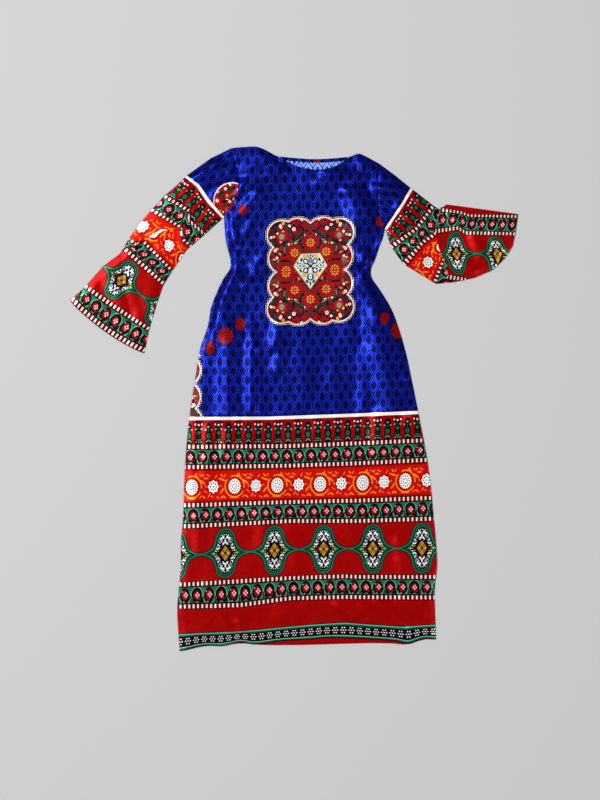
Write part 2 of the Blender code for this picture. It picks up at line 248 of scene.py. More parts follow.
# Finer creases, which only the shells have.
CREASES = [
    Fold("cap right upper", -285, 619, -224, 650, 20, 7.5),
    Fold("cap right lower", -252, 600, -174, 633, 15, 4.5),
    Fold("cap right seam", -224, 566, -171, 600, 12, 3),
    Fold("shoulder right low", -143, 594, -37, 636, 16, 7),
    Fold("shoulder right high", -135, 639, -68, 667, 13, 3.5),
    Fold("armhole right", -163, 566, -143, 591, 10, 3),
    Fold("chest right", -149, 511, -107, 572, 13, 5),
    Fold("chest right low", -143, 455, -123, 494, 12, 2.5),
    Fold("flank right top", -176, 516, -165, 432, 13, 4),
    Fold("flank right waist", -171, 427, -176, 365, 14, 4),
    Fold("waist right", -112, 371, -90, 399, 10, 3),
    Fold("waist right low", -151, 329, -90, 360, 12, 2.5),
    Fold("hip right wide", -174, 338, -196, 215, 26, 9),
    Fold("hip right edge", -210, 276, -232, 151, 16, 4),
    Fold("hip right long", -180, 180, -186, -40, 23, 9),
    Fold("hip right band", -185, -73, -196, -156, 15, 3),
    Fold("hip right second", -123, 209, -112, 148, 12, 3),
    Fold("hip right third", -118, 140, -118, -30, 17, 6.5),
    Fold("middle right", -43, 215, -56, 151, 15, 5),
    Fold("middle right low", -29, 148, -48, 81, 14, 4),
    Fold("middle", 33, 165, 24, 3, 18, 0.8),
    Fold("middle left", 108, 131, 114, -14, 18, 0.8),
    Fold("neck left", 86, 625, 183, 617, 13, 5),
    Fold("neck left low", 66, 603, 139, 583, 14, 4),
    Fold("shoulder left", 228, 589, 303, 578, 14, 5),
    Fold("shoulder left high", 189, 650, 239, 617, 12, 2.5),
    Fold("bust left", 168, 572, 186, 470, 26, 10),
    Fold("bust left outer", 208, 530, 226, 444, 18, 5),
    Fold("bust left low", 161, 466, 195, 399, 16, 6),
    Fold("waist left", 156, 382, 228, 382, 13, 5),
    Fold("waist left low", 150, 354, 211, 343, 12, 3),
    Fold("waist left third", 178, 321, 223, 276, 12, 3),
    Fold("hip left top", 195, 315, 228, 220, 20, 8),
    Fold("hip left wide", 236, 200, 276, -30, 33, 12.5),
    Fold("hip left inner", 196, 131, 190, -31, 16, 3),
    Fold("hip left edge", 295, 193, 317, 75, 18, 3.5),
    Fold("hip left band", 239, -47, 234, -148, 20, 3),
    Fold("skirt right", -238, -86, -249, -220, 14, 3),
    Fold("skirt right low", -274, -282, -266, -427, 14, 3),
    Fold("skirt middle", -90, -338, -73, -449, 22, 2),
    Fold("skirt left", 289, -407, 306, -511, 16, 3),
    Fold("skirt left inner", 161, -282, 175, -416, 20, 2),
    Fold("knee right", -246, -519, -224, -572, 14, 2),
    Fold("hem right", -216, -589, -182, -656, 12, 3),
    Fold("hem right inner", -154, -622, -140, -672, 10, 2.5),
    Fold("hem middle", 122, -578, 189, -605, 16, 3),
    Fold("hem middle low", 161, -605, 245, -650, 14, 2.5),
    Fold("hem left", 234, -569, 301, -628, 14, 3),
    Fold("hem left outer", 301, -555, 351, -600, 14, 2.5),
    Fold("sleeve right upper", -308, 583, -274, 538, 11, 2),
    Fold("sleeve right elbow", -358, 516, -324, 494, 10, 2.5),
    Fold("forearm right", -453, 421, -402, 382, 11, 2.5),
    Fold("bell right", -520, 343, -481, 248, 14, 1.5),
    Fold("bell right inner", -453, 304, -430, 204, 12, 1.2),
    Fold("bell right outer", -564, 315, -542, 271, 11, 1),
    Fold("sleeve left upper", 289, 538, 329, 494, 11, 2.5),
    Fold("sleeve left under", 273, 477, 306, 449, 10, 2),
    Fold("sleeve left elbow", 329, 427, 362, 382, 11, 2.5),
    Fold("bell left middle", 502, 449, 524, 399, 16, 4),
    Fold("bell left low", 468, 382, 502, 349, 14, 3),
    Fold("bell left outer", 552, 460, 574, 416, 14, 3),
    Fold("bell left crease", 435, 516, 451, 483, 10, 2.5),
    Fold("bell left edge", 591, 488, 602, 438, 10, 2),
]

# Where the print's lines lie on the front, by their way down the cloth.
BODY_LINES = [
    PrintLine(0.0, [Spot(-296, -50), Spot(-68, -49), Spot(44, -45), Spot(156, -41), Spot(345, -33)]),
    PrintLine(83.7, [Spot(-291, -133), Spot(-12, -131), Spot(183, -123), Spot(365, -115)]),
    PrintLine(137.8, [Spot(-291, -190), Spot(-12, -186), Spot(183, -179), Spot(365, -170)]),
    PrintLine(240.0, [Spot(-296, -296), Spot(-12, -287), Spot(183, -283), Spot(365, -276)]),
    PrintLine(294.6, [Spot(-299, -355), Spot(-12, -340), Spot(183, -340), Spot(370, -334)]),
    PrintLine(451.7, [Spot(-308, -517), Spot(-12, -499), Spot(142, -494), Spot(183, -496), Spot(384, -496)]),
    PrintLine(509.0, [Spot(-313, -579), Spot(-151, -575), Spot(-12, -555), Spot(142, -552), Spot(384, -553)]),
    PrintLine(
        581.0,
        [
            Spot(-319, -653),
            Spot(-151, -646),
            Spot(44, -627),
            Spot(142, -621),
            Spot(295, -632),
            Spot(393, -627),
        ],
    ),
]
HEM_V = 628.0

# The printed bands down the cloth, with the place of a motif's middle across it.
ZONES = [
    Zone("stripe", 0.0, 10.0, 0.0),
    Zone("urn", 10.0, 76.0, 10.6),
    Zone("dash", 76.0, 91.4, 0.0),
    Zone("vine", 91.4, 130.0, 13.0),
    Zone("dash", 130.0, 145.5, 0.0),
    Zone("flame", 145.5, 232.3, 71.8),
    Zone("dash", 232.3, 247.7, 0.0),
    Zone("vine", 247.7, 287.0, 21.0),
    Zone("dash", 287.0, 302.3, 0.0),
    Zone("ogee", 302.3, 444.0, 81.9),
    Zone("dash", 444.0, 459.4, 0.0),
    Zone("vine", 459.4, 501.3, 31.7),
    Zone("dash", 501.3, 516.7, 0.0),
    Zone("plain", 516.7, 581.0, 0.0),
    Zone("hem", 581.0, HEM_V, 0.0),
]
ZONE_HEIGHT = {
    "stripe": 10.0,
    "urn": 66.0,
    "dash": 15.4,
    "vine": 40.0,
    "flame": 86.8,
    "ogee": 141.7,
    "plain": 64.3,
    "hem": 47.0,
}
LAST_SLEEVE_V = 516.7

# A sleeve's print lines, from its outer edge to its inner one. Where a fold crosses, "over" is
# the fold's edge, "under" is where the cloth comes out beneath it, and "hidden" is how much
# cloth across lies in the fold. "rate" is cloth across for each millimetre of the way.
LINES_RIGHT = [
    SleeveLine(0, -12, 1, 0, Spot(-301, 624), Spot(-265, 597), Spot(-236, 555), Spot(-195, 511)),
    SleeveLine(10, -10, 1, 0, Spot(-306, 618), Spot(-272, 590), Spot(-243, 547), Spot(-201, 503)),
    SleeveLine(76, 5, 1, 4, Spot(-360, 572), Spot(-291, 531), Spot(-289, 501), Spot(-245, 462)),
    SleeveLine(91.4, 8, 1, 6, Spot(-367, 562), Spot(-298, 520), Spot(-295, 491), Spot(-252, 453)),
    SleeveLine(130, 14, 1, 10, Spot(-389, 529), Spot(-311, 482), Spot(-310, 451), Spot(-282, 428)),
    SleeveLine(145.5, 4, 1, 30, Spot(-398, 518), Spot(-315, 472), Spot(-315, 441), Spot(-289, 420)),
    SleeveLine(189, 0, 1, 38, Spot(-428, 485), Spot(-380, 469), Spot(-375, 460), Spot(-310, 396)),
    SleeveLine(232.3, -4, 1, 30, Spot(-456, 451), Spot(-438, 435), Spot(-415, 442), Spot(-335, 360)),
    SleeveLine(247.7, 29, 1, 8, Spot(-463, 441), Spot(-444, 425), Spot(-422, 432), Spot(-342, 352)),
    SleeveLine(287, 27, 1, 0, Spot(-472, 429), Spot(-436, 396), Spot(-435, 395), Spot(-359, 327)),
    SleeveLine(302.3, 24, 1, 0, Spot(-480, 415), Spot(-443, 381), Spot(-442, 380), Spot(-370, 315)),
    SleeveLine(444, 11, 1, 0, Spot(-574, 317), Spot(-516, 278), Spot(-515, 277), Spot(-400, 201)),
    SleeveLine(459.4, 9, 1, 0, Spot(-583, 304), Spot(-525, 265), Spot(-524, 264), Spot(-409, 189)),
    SleeveLine(501.3, -1, 1, 0, Spot(-611, 288), Spot(-548, 242), Spot(-547, 241), Spot(-413, 147)),
    SleeveLine(516.7, -4, 1, 0, Spot(-624, 276), Spot(-562, 232), Spot(-561, 231), Spot(-418, 129)),
]
LINES_LEFT_ARM = [
    SleeveLine(0, 20, 1, 0, Spot(326, 591), Spot(298, 543), Spot(297, 542), Spot(255, 478)),
    SleeveLine(10, 22, 1, 0, Spot(333, 586), Spot(304, 537), Spot(303, 536), Spot(258, 470)),
    SleeveLine(76, 40, 1, 0, Spot(384, 545), Spot(337, 480), Spot(336, 479), Spot(271, 434)),
    SleeveLine(91.4, 44, 1, 0, Spot(395, 536), Spot(344, 470), Spot(343, 469), Spot(281, 421)),
    SleeveLine(130, 56, 1, 0, Spot(397, 475), Spot(354, 442), Spot(353, 441), Spot(305, 388)),
    SleeveLine(145.5, 60, 1, 0, Spot(402, 460), Spot(362, 432), Spot(361, 431), Spot(315, 371)),
    SleeveLine(189, 66, 1, 0, Spot(409, 430), Spot(381, 395), Spot(380, 394), Spot(345, 350)),
    SleeveLine(232.3, 70, 1, 0, Spot(413, 405), Spot(399, 360), Spot(398, 359), Spot(386, 328)),
    SleeveLine(247.7, 72, 1, 0, Spot(421, 397), Spot(409, 355), Spot(408, 354), Spot(398, 321)),
    SleeveLine(287, 76, 1, 0, Spot(432, 340), Spot(437, 334), Spot(438, 333), Spot(448, 327)),
]
LINES_LEFT_BELL = [
    SleeveLine(287, 62, 1.2, 0, Spot(424, 333), Spot(437, 330), Spot(438, 330), Spot(466, 328)),
    SleeveLine(302.3, 61, 1.2, 0, Spot(430, 350), Spot(450, 345), Spot(451, 345), Spot(493, 335)),
    SleeveLine(373, 35, 1.2, 0, Spot(412, 401), Spot(480, 405), Spot(481, 405), Spot(597, 405)),
    SleeveLine(444, 12, 1.2, 0, Spot(393, 459), Spot(456, 470), Spot(478, 456), Spot(616, 454)),
    SleeveLine(459.4, 12, 1.2, 0, Spot(393, 476), Spot(456, 483), Spot(478, 470), Spot(618, 466)),
    SleeveLine(501.3, 14, 1.2, 0, Spot(406, 520), Spot(462, 515), Spot(488, 506), Spot(622, 503)),
    SleeveLine(516.7, 15, 1.2, 0, Spot(409, 535), Spot(462, 525), Spot(488, 516), Spot(624, 514)),
]


def smooth_curve(spots, fractions):
    """Places at fractions, from 0 to 1, of a smooth curve through the spots, as two columns."""
    p = np.array(spots, float)
    ways = np.hypot(*np.diff(p, axis=0).T)
    ends = np.concatenate([[0.0], np.cumsum(ways)])
    along = np.clip(np.atleast_1d(fractions), 0.0, 1.0) * ends[-1]
    i = np.clip(np.searchsorted(ends, along) - 1, 0, len(ways) - 1)
    f = ((along - ends[i]) / ways[i])[:, None]
    a, b = p[i], p[i + 1]
    before, after = p[np.maximum(i - 1, 0)], p[np.minimum(i + 2, len(p) - 1)]
    tangent_a = np.where((i > 0)[:, None], (b - before) / 2, b - a)
    tangent_b = np.where((i < len(ways) - 1)[:, None], (after - a) / 2, b - a)
    return (
        a * (2 * f**3 - 3 * f**2 + 1)
        + tangent_a * (f**3 - 2 * f**2 + f)
        + b * (3 * f**2 - 2 * f**3)
        + tangent_b * (f**3 - f**2)
    )


CURVE_STEPS = 600


def height_at(spots, x):
    """The y of a smooth curve that runs across the garment, at each x."""
    line = smooth_curve(spots, np.linspace(0, 1, CURVE_STEPS))
    return np.interp(x, line[:, 0], line[:, 1])


def smooth_step(value):
    value = np.clip(value, 0.0, 1.0)
    return value * value * (3 - 2 * value)


def between(a, b, fraction):
    return a + (b - a) * fraction


def distance_to_line(x, y, a, b):
    """How far each (x, y) is from the straight line from a to b."""
    dx, dy = b.x - a.x, b.y - a.y
    f = np.clip(((x - a.x) * dx + (y - a.y) * dy) / (dx * dx + dy * dy), 0.0, 1.0)
    return np.hypot(x - a.x - f * dx, y - a.y - f * dy)


def side_spots(hand):
    column = "left" if hand == "right" else "right"
    levels = [Spot(getattr(side, column), side.level) for side in SIDES]
    return [HEM_CORNER[hand]] + levels + [ARMHOLE[hand][0]]


def folded_edges():
    """The lines where the upper layer turns round into the lower one."""
    lines = [side_spots("right"), side_spots("left"), SHOULDER_RIGHT, SHOULDER_LEFT]
    lines += list(SLEEVE_OUTER.values()) + list(SLEEVE_INNER.values())
    return [pair for line in lines for pair in zip(line, line[1:])]


FOLDED_EDGES = folded_edges()


def edge_distance(x, y):
    edge = np.full(np.shape(x), 1e3)
    for a, b in FOLDED_EDGES:
        edge = np.minimum(edge, distance_to_line(x, y, a, b))
    return edge


def ridges(x, y, folds, wider=1.0):
    total = np.zeros(np.shape(x))
    for fold in folds:
        start, end = Spot(fold.from_x, fold.from_y), Spot(fold.to_x, fold.to_y)
        away = np.minimum(distance_to_line(x, y, start, end) / (fold.reach * wider), 1.0)
        total += fold.height * (0.5 + 0.5 * np.cos(math.pi * away))
    return total


# Slow waves of the laid cloth: how many in a metre across and along, where they start, and how high.
Wave = namedtuple("Wave", "across along start height")
WAVES = [
    Wave(5.1, 1.3, 0.4, 0.5),
    Wave(8.7, -2.1, 2.0, 0.35),
    Wave(12.9, 3.4, 4.1, 0.25),
    Wave(3.3, 6.2, 1.1, 0.4),
    Wave(17.3, -5.3, 5.2, 0.15),
    Wave(-6.4, 9.1, 3.3, 0.2),
]


def slow_waves(x, y):
    total = np.zeros(np.shape(x))
    for wave in WAVES:
        turns = (wave.across * x + wave.along * y) * MILLIMETRE
        total += wave.height * np.sin(2 * math.pi * turns + wave.start)
    return total


# Each seam's line, and how far in from that line its stitches pull the cloth down.
SEAMS = [(ARMHOLE["right"], 0.0), (ARMHOLE["left"], 0.0), (NECK_FRONT, 11.0), (HEM_FRONT, 12.0)]


def upper_surface(x, y):
    """The top of the upper layer, as the solids have it, with its edges rolled down."""
    edge = edge_distance(x, y)
    raised = LOFT + ridges(x, y, FOLDS) * LARGE_SHARE + ridges(x, y, CREASES, CREASE_WIDER) * CREASE_HIGHER + slow_waves(x, y)
    raised = raised / (1 + (np.abs(raised) / HIGHEST) ** 4) ** 0.25
    loft = WALL + GAP + WALL + smooth_step(edge / CREASE_FADE) * raised
    for line, offset in SEAMS:
        seam = smooth_curve(line, np.linspace(0, 1, 13))
        away = np.full(np.shape(x), 1e3)
        for a, b in zip(seam, seam[1:]):
            away = np.minimum(away, distance_to_line(x, y, Spot(*a), Spot(*b)))
        loft -= SEAM_DEPTH * (1 - smooth_step(np.abs(away - offset) / SEAM_REACH))
    turned = np.clip(1.0 - edge / ROLL, 0.0, 1.0)
    low = UNDER + CLOTH
    return low + (loft - low) * np.sqrt(1.0 - turned * turned)


class Cloth:
    """The walls of one piece, gathered and then written as one mesh."""

    def __init__(self, sheets):
        self.points, self.corners, self.uvs = [], [], []
        self.faces, self.finishes, self.names = [], [], []
        self.count, self.sheet, self.sheets = 0, 0, sheets

    def finish(self, name):
        if name not in self.names:
            self.names.append(name)
        return self.names.index(name)

    def layer(self, points, place, finishes, up):
        """One side of a wall: rows x columns of points, with the print's place at each face's corners."""
        rows, columns = points.shape[:2]
        index = np.arange(rows * columns).reshape(rows, columns) + self.count
        quads = np.stack([index[:-1, :-1], index[:-1, 1:], index[1:, 1:], index[1:, :-1]], -1)
        corner = place
        low, high = points[..., :2].min((0, 1)), points[..., :2].max((0, 1))
        flat = (points[..., :2] - low) / (high - low)
        flat[..., 0] = (flat[..., 0] * 0.98 + 0.01 + self.sheet) / self.sheets
        uv = np.stack([flat[:-1, :-1], flat[:-1, 1:], flat[1:, 1:], flat[1:, :-1]], 2)
        if not up:
            quads, corner, uv = quads[..., ::-1], corner[..., ::-1, :], uv[..., ::-1, :]
        self.points.append(points.reshape(-1, 3))
        self.faces.append(quads.reshape(-1, 4))
        self.corners.append(corner.reshape(-1, 2))
        self.uvs.append(uv.reshape(-1, 2))
        self.finishes.append(finishes.reshape(-1))
        self.count += rows * columns
        self.sheet += 1
        return index

    def rim(self, top, bottom, finish, place, up):
        """The cut edges between a wall's two sides."""
        ring = [top[0, :], top[1:, -1], top[-1, -2::-1], top[-2:0:-1, 0]]
        ring_low = [bottom[0, :], bottom[1:, -1], bottom[-1, -2::-1], bottom[-2:0:-1, 0]]
        a, low_a = np.concatenate(ring), np.concatenate(ring_low)
        b, low_b = np.roll(a, -1), np.roll(low_a, -1)
        quads = np.stack([low_a, low_b, b, a], -1)
        if not up:
            quads = quads[:, ::-1]
        self.faces.append(quads)
        self.corners.append(np.tile(np.array(place, float), (len(quads) * 4, 1)))
        self.uvs.append(np.zeros((len(quads) * 4, 2)))
        self.finishes.append(np.full(len(quads), finish))

    def wall(self, outer, inner, place, finishes, inside, edge, up=True, hem_rows=0):
        """A wall whose outer side has the print, its inner side the finish inside, its rim the finish edge."""
        top = self.layer(outer, place, finishes, up)
        inner_finish = np.full(finishes.shape, self.finish(inside))
        inner_finish[:hem_rows] = self.finish("plain")
        bottom = self.layer(inner, place, inner_finish, not up)
        self.rim(top, bottom, self.finish(edge), (0.0, 0.0), up)

    def write(self, name):
        mesh = bpy.data.meshes.new(name)
        points = np.concatenate(self.points) * MILLIMETRE
        faces = np.concatenate(self.faces)
        mesh.from_pydata(points.tolist(), [], faces.tolist())
        place = mesh.attributes.new("print_place", "FLOAT_VECTOR", "CORNER")
        corners = np.concatenate(self.corners)
        corners = np.hstack([corners, np.zeros((len(corners), 1))])
        place.data.foreach_set("vector", corners.astype(np.float32).ravel())
        bake = mesh.uv_layers.new(name="OFBake")
        bake.data.foreach_set("uv", np.concatenate(self.uvs).astype(np.float32).ravel())
        for finish in self.names:
            mesh.materials.append(finish_named(finish))
        mesh.polygons.foreach_set("material_index", np.concatenate(self.finishes).astype(np.int32))
        mesh.update()
        mesh.shade_smooth()
        mesh.set_sharp_from_angle(angle=math.radians(50))
        thing = bpy.data.objects.new(name, mesh)
        bpy.context.scene.collection.objects.link(thing)
        return thing


def zone_of(v):
    for zone in ZONES:
        if v < zone.bottom:
            return zone
    return ZONES[-1]


def corner_places(cloth, across, v, level):
    """The print's place at each face's four corners, and each face's finish.

    v is how far down the print each point is, and level is each row's, under 0 where the lattice
    is. across is how far across the print each point is, or gives it for a printed band.
    """
    rows, columns = v.shape
    place = np.zeros((rows - 1, columns - 1, 4, 2))
    finishes = np.zeros((rows - 1, columns - 1), int)
    for i in range(rows - 1):
        middle = (level[i] + level[i + 1]) / 2
        u = across(zone_of(middle)) if callable(across) else across
        for corner, (row, start) in enumerate(((i, 0), (i, 1), (i + 1, 1), (i + 1, 0))):
            span = slice(start, columns - 1 + start)
            place[i, :, corner, 0] = u[row, span]
            place[i, :, corner, 1] = v[row, span]
        if middle < 0:
            finishes[i] = cloth.finish("lattice")
            continue
        zone = zone_of(middle)
        scale = ZONE_HEIGHT[zone.print] / (zone.bottom - zone.top)
        place[i, ..., 1] = (place[i, ..., 1] - (zone.top + zone.bottom) / 2) * scale
        place[i, ..., 0] -= zone.phase
        finishes[i] = cloth.finish(zone.print)
    return place, finishes


def levels_between(top, bottom, step):
    """Levels down the cloth, with one at each border between printed bands."""
    borders = sorted({top, bottom} | {z.top for z in ZONES} | {z.bottom for z in ZONES})
    borders = [b for b in borders if top <= b <= bottom]
    levels = []
    for a, b in zip(borders, borders[1:]):
        count = max(1, round((b - a) / step))
        levels += [between(a, b, k / count) for k in range(count)]
    return levels + [borders[-1]]


def columns_across(width, count):
    """Fractions across a width, with closer columns where the edges roll down."""
    inset = np.array([0.0, 0.05, 0.2, 0.5, 1.0]) * ROLL / width
    inner = np.linspace(inset[-1], 1.0 - inset[-1], count - 2 * len(inset) + 3)
    return np.concatenate([inset[:-1], inner, (1.0 - inset[:-1])[::-1]])


def side_x(hand, y):
    line = smooth_curve(side_spots(hand), np.linspace(0, 1, CURVE_STEPS))
    return np.interp(y, line[:, 1], line[:, 0])


def skirt_line(v, hem):
    """The y of the print's line at v, over x."""
    xs = np.linspace(-330, 410, 75)
    levels = [line.v for line in BODY_LINES] + [HEM_V]
    heights = [np.interp(xs, [s.x for s in line.spots], [s.y for s in line.spots]) for line in BODY_LINES]
    heights.append(height_at(hem, xs))
    i = min(int(np.searchsorted(levels, v, side="right")) - 1, len(levels) - 2)
    f = (v - levels[i]) / (levels[i + 1] - levels[i])
    return xs, between(heights[i], heights[i + 1], f)


def row_ends(line_x, line_y):
    """Where a line across meets the two side seams."""
    ends = []
    for hand, x in (("right", -300.0), ("left", 380.0)):
        for _ in range(6):
            x = float(side_x(hand, np.interp(x, line_x, line_y)))
        ends.append(x)
    return ends


def body_plan(hem, neck, step, arm_rows, columns):
    """Rows of places over a body panel from the hem up, with each one's u, v and row level."""
    plan, level = [], []
    for v in reversed(levels_between(0.0, HEM_V, step)):
        xs, ys = skirt_line(v, hem)
        start, end = row_ends(xs, ys)
        x = between(start, end, columns_across(end - start, columns))
        plan.append(np.stack([x, np.interp(x, xs, ys)], -1))
        level.append(v)
    stripe_x, stripe_y = skirt_line(0.0, hem)
    arm_right, arm_left = ARMHOLE["right"][0], ARMHOLE["left"][0]
    arm_y = np.interp(stripe_x, [arm_right.x, arm_left.x], [arm_right.y, arm_left.y])
    steps = round((arm_right.y + 50) / step)
    for k in range(1, steps + 1):
        ys = between(stripe_y, arm_y, k / steps)
        start, end = row_ends(stripe_x, ys)
        x = between(start, end, columns_across(end - start, columns))
        plan.append(np.stack([x, np.interp(x, stripe_x, ys)], -1))
        level.append(-float(k))
    top = np.concatenate(
        [
            smooth_curve(SHOULDER_RIGHT, np.linspace(0, 1, 40)),
            smooth_curve(neck, np.linspace(0, 1, 90))[1:-1],
            smooth_curve(SHOULDER_LEFT, np.linspace(0, 1, 40)),
        ]
    )
    holes = [smooth_curve(ARMHOLE[hand], np.linspace(0, 1, arm_rows + 1)) for hand in ("right", "left")]
    for k in range(1, arm_rows + 1):
        start, end = holes[0][k], holes[1][k]
        f = columns_across(end[0] - start[0], columns)
        x = between(start[0], end[0], f)
        y = between(start[1], end[1], f)
        top_x = between(top[0, 0], top[-1, 0], f)
        rise = np.interp(top_x, top[:, 0], top[:, 1]) - between(top[0, 1], top[-1, 1], f)
        plan.append(np.stack([x, y + rise * (k / arm_rows) ** 2], -1))
        level.append(-float(steps + k))
    plan, level = np.array(plan), np.array(level)
    u = plan[..., 0]
    v = np.interp(u, stripe_x, stripe_y) - plan[..., 1]
    v = np.where(level[:, None] >= 0, level[:, None], v)
    return plan, u, v, level


def with_height(plan, height):
    return np.concatenate([plan, np.broadcast_to(height, plan.shape[:2])[..., None]], -1)


OVERLAYS = [
    ("medallion", (-95, 190), (185, 525)),
    ("hip_medallion", (-340, -60), (-235, 122)),
    ("rosettes", (-265, 110), (-120, 250)),
    ("rosettes", (225, 150), (340, 260)),
    ("rosettes", (-170, 500), (-120, 560)),
    ("rosettes", (220, 465), (270, 520)),
]
CAP_OVERLAYS = [("cap_medallion", (-255, 480), (-150, 625))]


def overlay_faces(cloth, plan, finishes, overlays):
    """Gives the faces of the lattice that are near an overlay the finish that has it."""
    middle = (plan[:-1, :-1] + plan[1:, 1:]) / 2
    lattice = cloth.finish("lattice")
    for name, low, high in overlays:
        inside = np.all((middle > np.array(low)) & (middle < np.array(high)), axis=-1)
        finishes[inside & (finishes == lattice)] = cloth.finish(name)


def inner_of(top, lift):
    """The inner side of a wall: below its outer side, and never under the layer that it lies on."""
    inner = top.copy()
    inner[..., 2] = np.maximum(top[..., 2] - CLOTH, lift)
    return inner


def make_front():
    cloth = Cloth(2)
    plan, u, v, level = body_plan(HEM_FRONT, NECK_FRONT, ROW_STEP, ARM_ROWS, COLUMNS)
    place, finishes = corner_places(cloth, u, v, level)
    overlay_faces(cloth, plan, finishes, OVERLAYS)
    top = with_height(plan, upper_surface(plan[..., 0], plan[..., 1]))
    cloth.wall(top, inner_of(top, UNDER + 0.05), place, finishes, "wrong_side", "cut_edge")
    return cloth.write("front_cloth")


def make_back():
    cloth = Cloth(2)
    plan, u, v, level = body_plan(HEM_BACK, NECK_BACK, BACK_ROW_STEP, 16, BACK_COLUMNS)
    place, finishes = corner_places(cloth, u, v, level)
    bottom, top = with_height(plan, 0.0), with_height(plan, UNDER)
    cloth.wall(bottom, top, place, finishes, "wrong_side", "plain", up=False, hem_rows=HEM_ROWS)
    return cloth.write("back_cloth")


def way_along(line):
    p = np.array(line, float)
    return np.concatenate([[0.0], np.cumsum(np.hypot(*np.diff(p, axis=0).T))])


def spot_at(line, way):
    p = np.array(line, float)
    ways = way_along(line)
    return np.array([np.interp(way, ways, p[:, 0]), np.interp(way, ways, p[:, 1])])


def way_of(line, spot):
    """How far along a line of spots its nearest place to a spot is."""
    ways = way_along(line)
    steps = np.linspace(0, ways[-1], 2000)
    p = np.array(line, float)
    x, y = np.interp(steps, ways, p[:, 0]), np.interp(steps, ways, p[:, 1])
    return float(steps[np.argmin(np.hypot(x - spot.x, y - spot.y))])


def sleeve_rows(lines, outer_edge, inner_edge, step, columns):
    """Rows of places between a sleeve's print lines, how far across the print they are in each band, and the rows' levels."""
    table_v = np.array([line.v for line in lines], float)
    levels = levels_between(table_v[0], table_v[-1], step)
    outer = np.array([way_of(outer_edge, line.outer) for line in lines])
    inner = np.array([way_of(inner_edge, line.inner) for line in lines])
    over = np.array([line.over for line in lines], float)
    under = np.array([line.under for line in lines], float)

    def at(v, name):
        return np.interp(v, table_v, [getattr(line, name) for line in lines])

    def ends(v):
        start = spot_at(outer_edge, np.interp(v, table_v, outer))
        return start, spot_at(inner_edge, np.interp(v, table_v, inner))

    rows, ways, shares = [], [], []
    for v in levels:
        start, end = ends(v)
        fold = np.array([np.interp(v, table_v, over[:, k]) for k in (0, 1)])
        out = np.array([np.interp(v, table_v, under[:, k]) for k in (0, 1)])
        tuck = smooth_step(at(v, "hidden") / FOLD_FULL)
        back = (start - fold) / np.hypot(*(start - fold))
        turn = fold + back * FOLD_DEPTH
        gap = np.hypot(*(out - fold)) * (1 - tuck)
        way, way_in = np.hypot(*(fold - start)), np.hypot(*(end - out))
        row, along, share = [], [], []
        for f in columns_from_edge(way, columns):
            rise = FOLD_LIFT * tuck * smooth_step(1 - (1 - f) * way / FOLD_FADE)
            row.append([*between(start, fold, f), rise])
            along.append(f * way)
            share.append(0.0)
        for f in (1 / 3, 2 / 3):
            plain = between(fold, out, f)
            row.append([*between(plain, between(turn, out, f * f), tuck), -FOLD_SINK * tuck])
            along.append(way + gap * f)
            share.append(f)
        for f in columns_from_edge(way_in, columns)[::-1]:
            row.append([*between(out, end, 1 - f), 0.0])
            along.append(way + gap + (1 - f) * way_in)
            share.append(1.0)
        rows.append(row)
        ways.append(np.array(along) * at(v, "rate"))
        shares.append(share)
    ways, shares = np.array(ways), np.array(shares)

    def across(zone):
        middle = min(max((zone.top + zone.bottom) / 2, levels[0]), levels[-1])
        start, end = ends(middle)
        side = (end - start) / np.hypot(*(end - start))
        shift = np.array([(ends(v)[0] - start) @ side for v in levels])
        return ways + shares * at(middle, "hidden") + at(middle, "u") + shift[:, None]

    found = {zone: across(zone) for zone in ZONES}
    return np.array(rows), found.get, np.array(levels)


FOLD_FULL = 8.0  # the cloth hidden in a fold from which its edge stands up whole
FOLD_DEPTH = 6.0
FOLD_LIFT = 0.9
FOLD_SINK = 1.2
FOLD_FADE = 16.0


def columns_from_edge(way, count):
    """Fractions from a folded edge to a place inside, closer together at the edge."""
    inset = np.array([0.0, 0.05, 0.2, 0.5, 1.0]) * ROLL / way
    return np.concatenate([inset[:-1], np.linspace(inset[-1], 1.0, count)])


def sleeve_wall(cloth, rows, across, level, lift, up=True):
    plan = rows[..., :2]
    v = np.broadcast_to(level[:, None], rows.shape[:2])
    place, finishes = corner_places(cloth, across, v, level)
    top = with_height(plan, upper_surface(plan[..., 0], plan[..., 1]) + rows[..., 2] + lift)
    cloth.wall(top, inner_of(top, UNDER + 0.05), place, finishes, "wrong_side", "cut_edge", up)


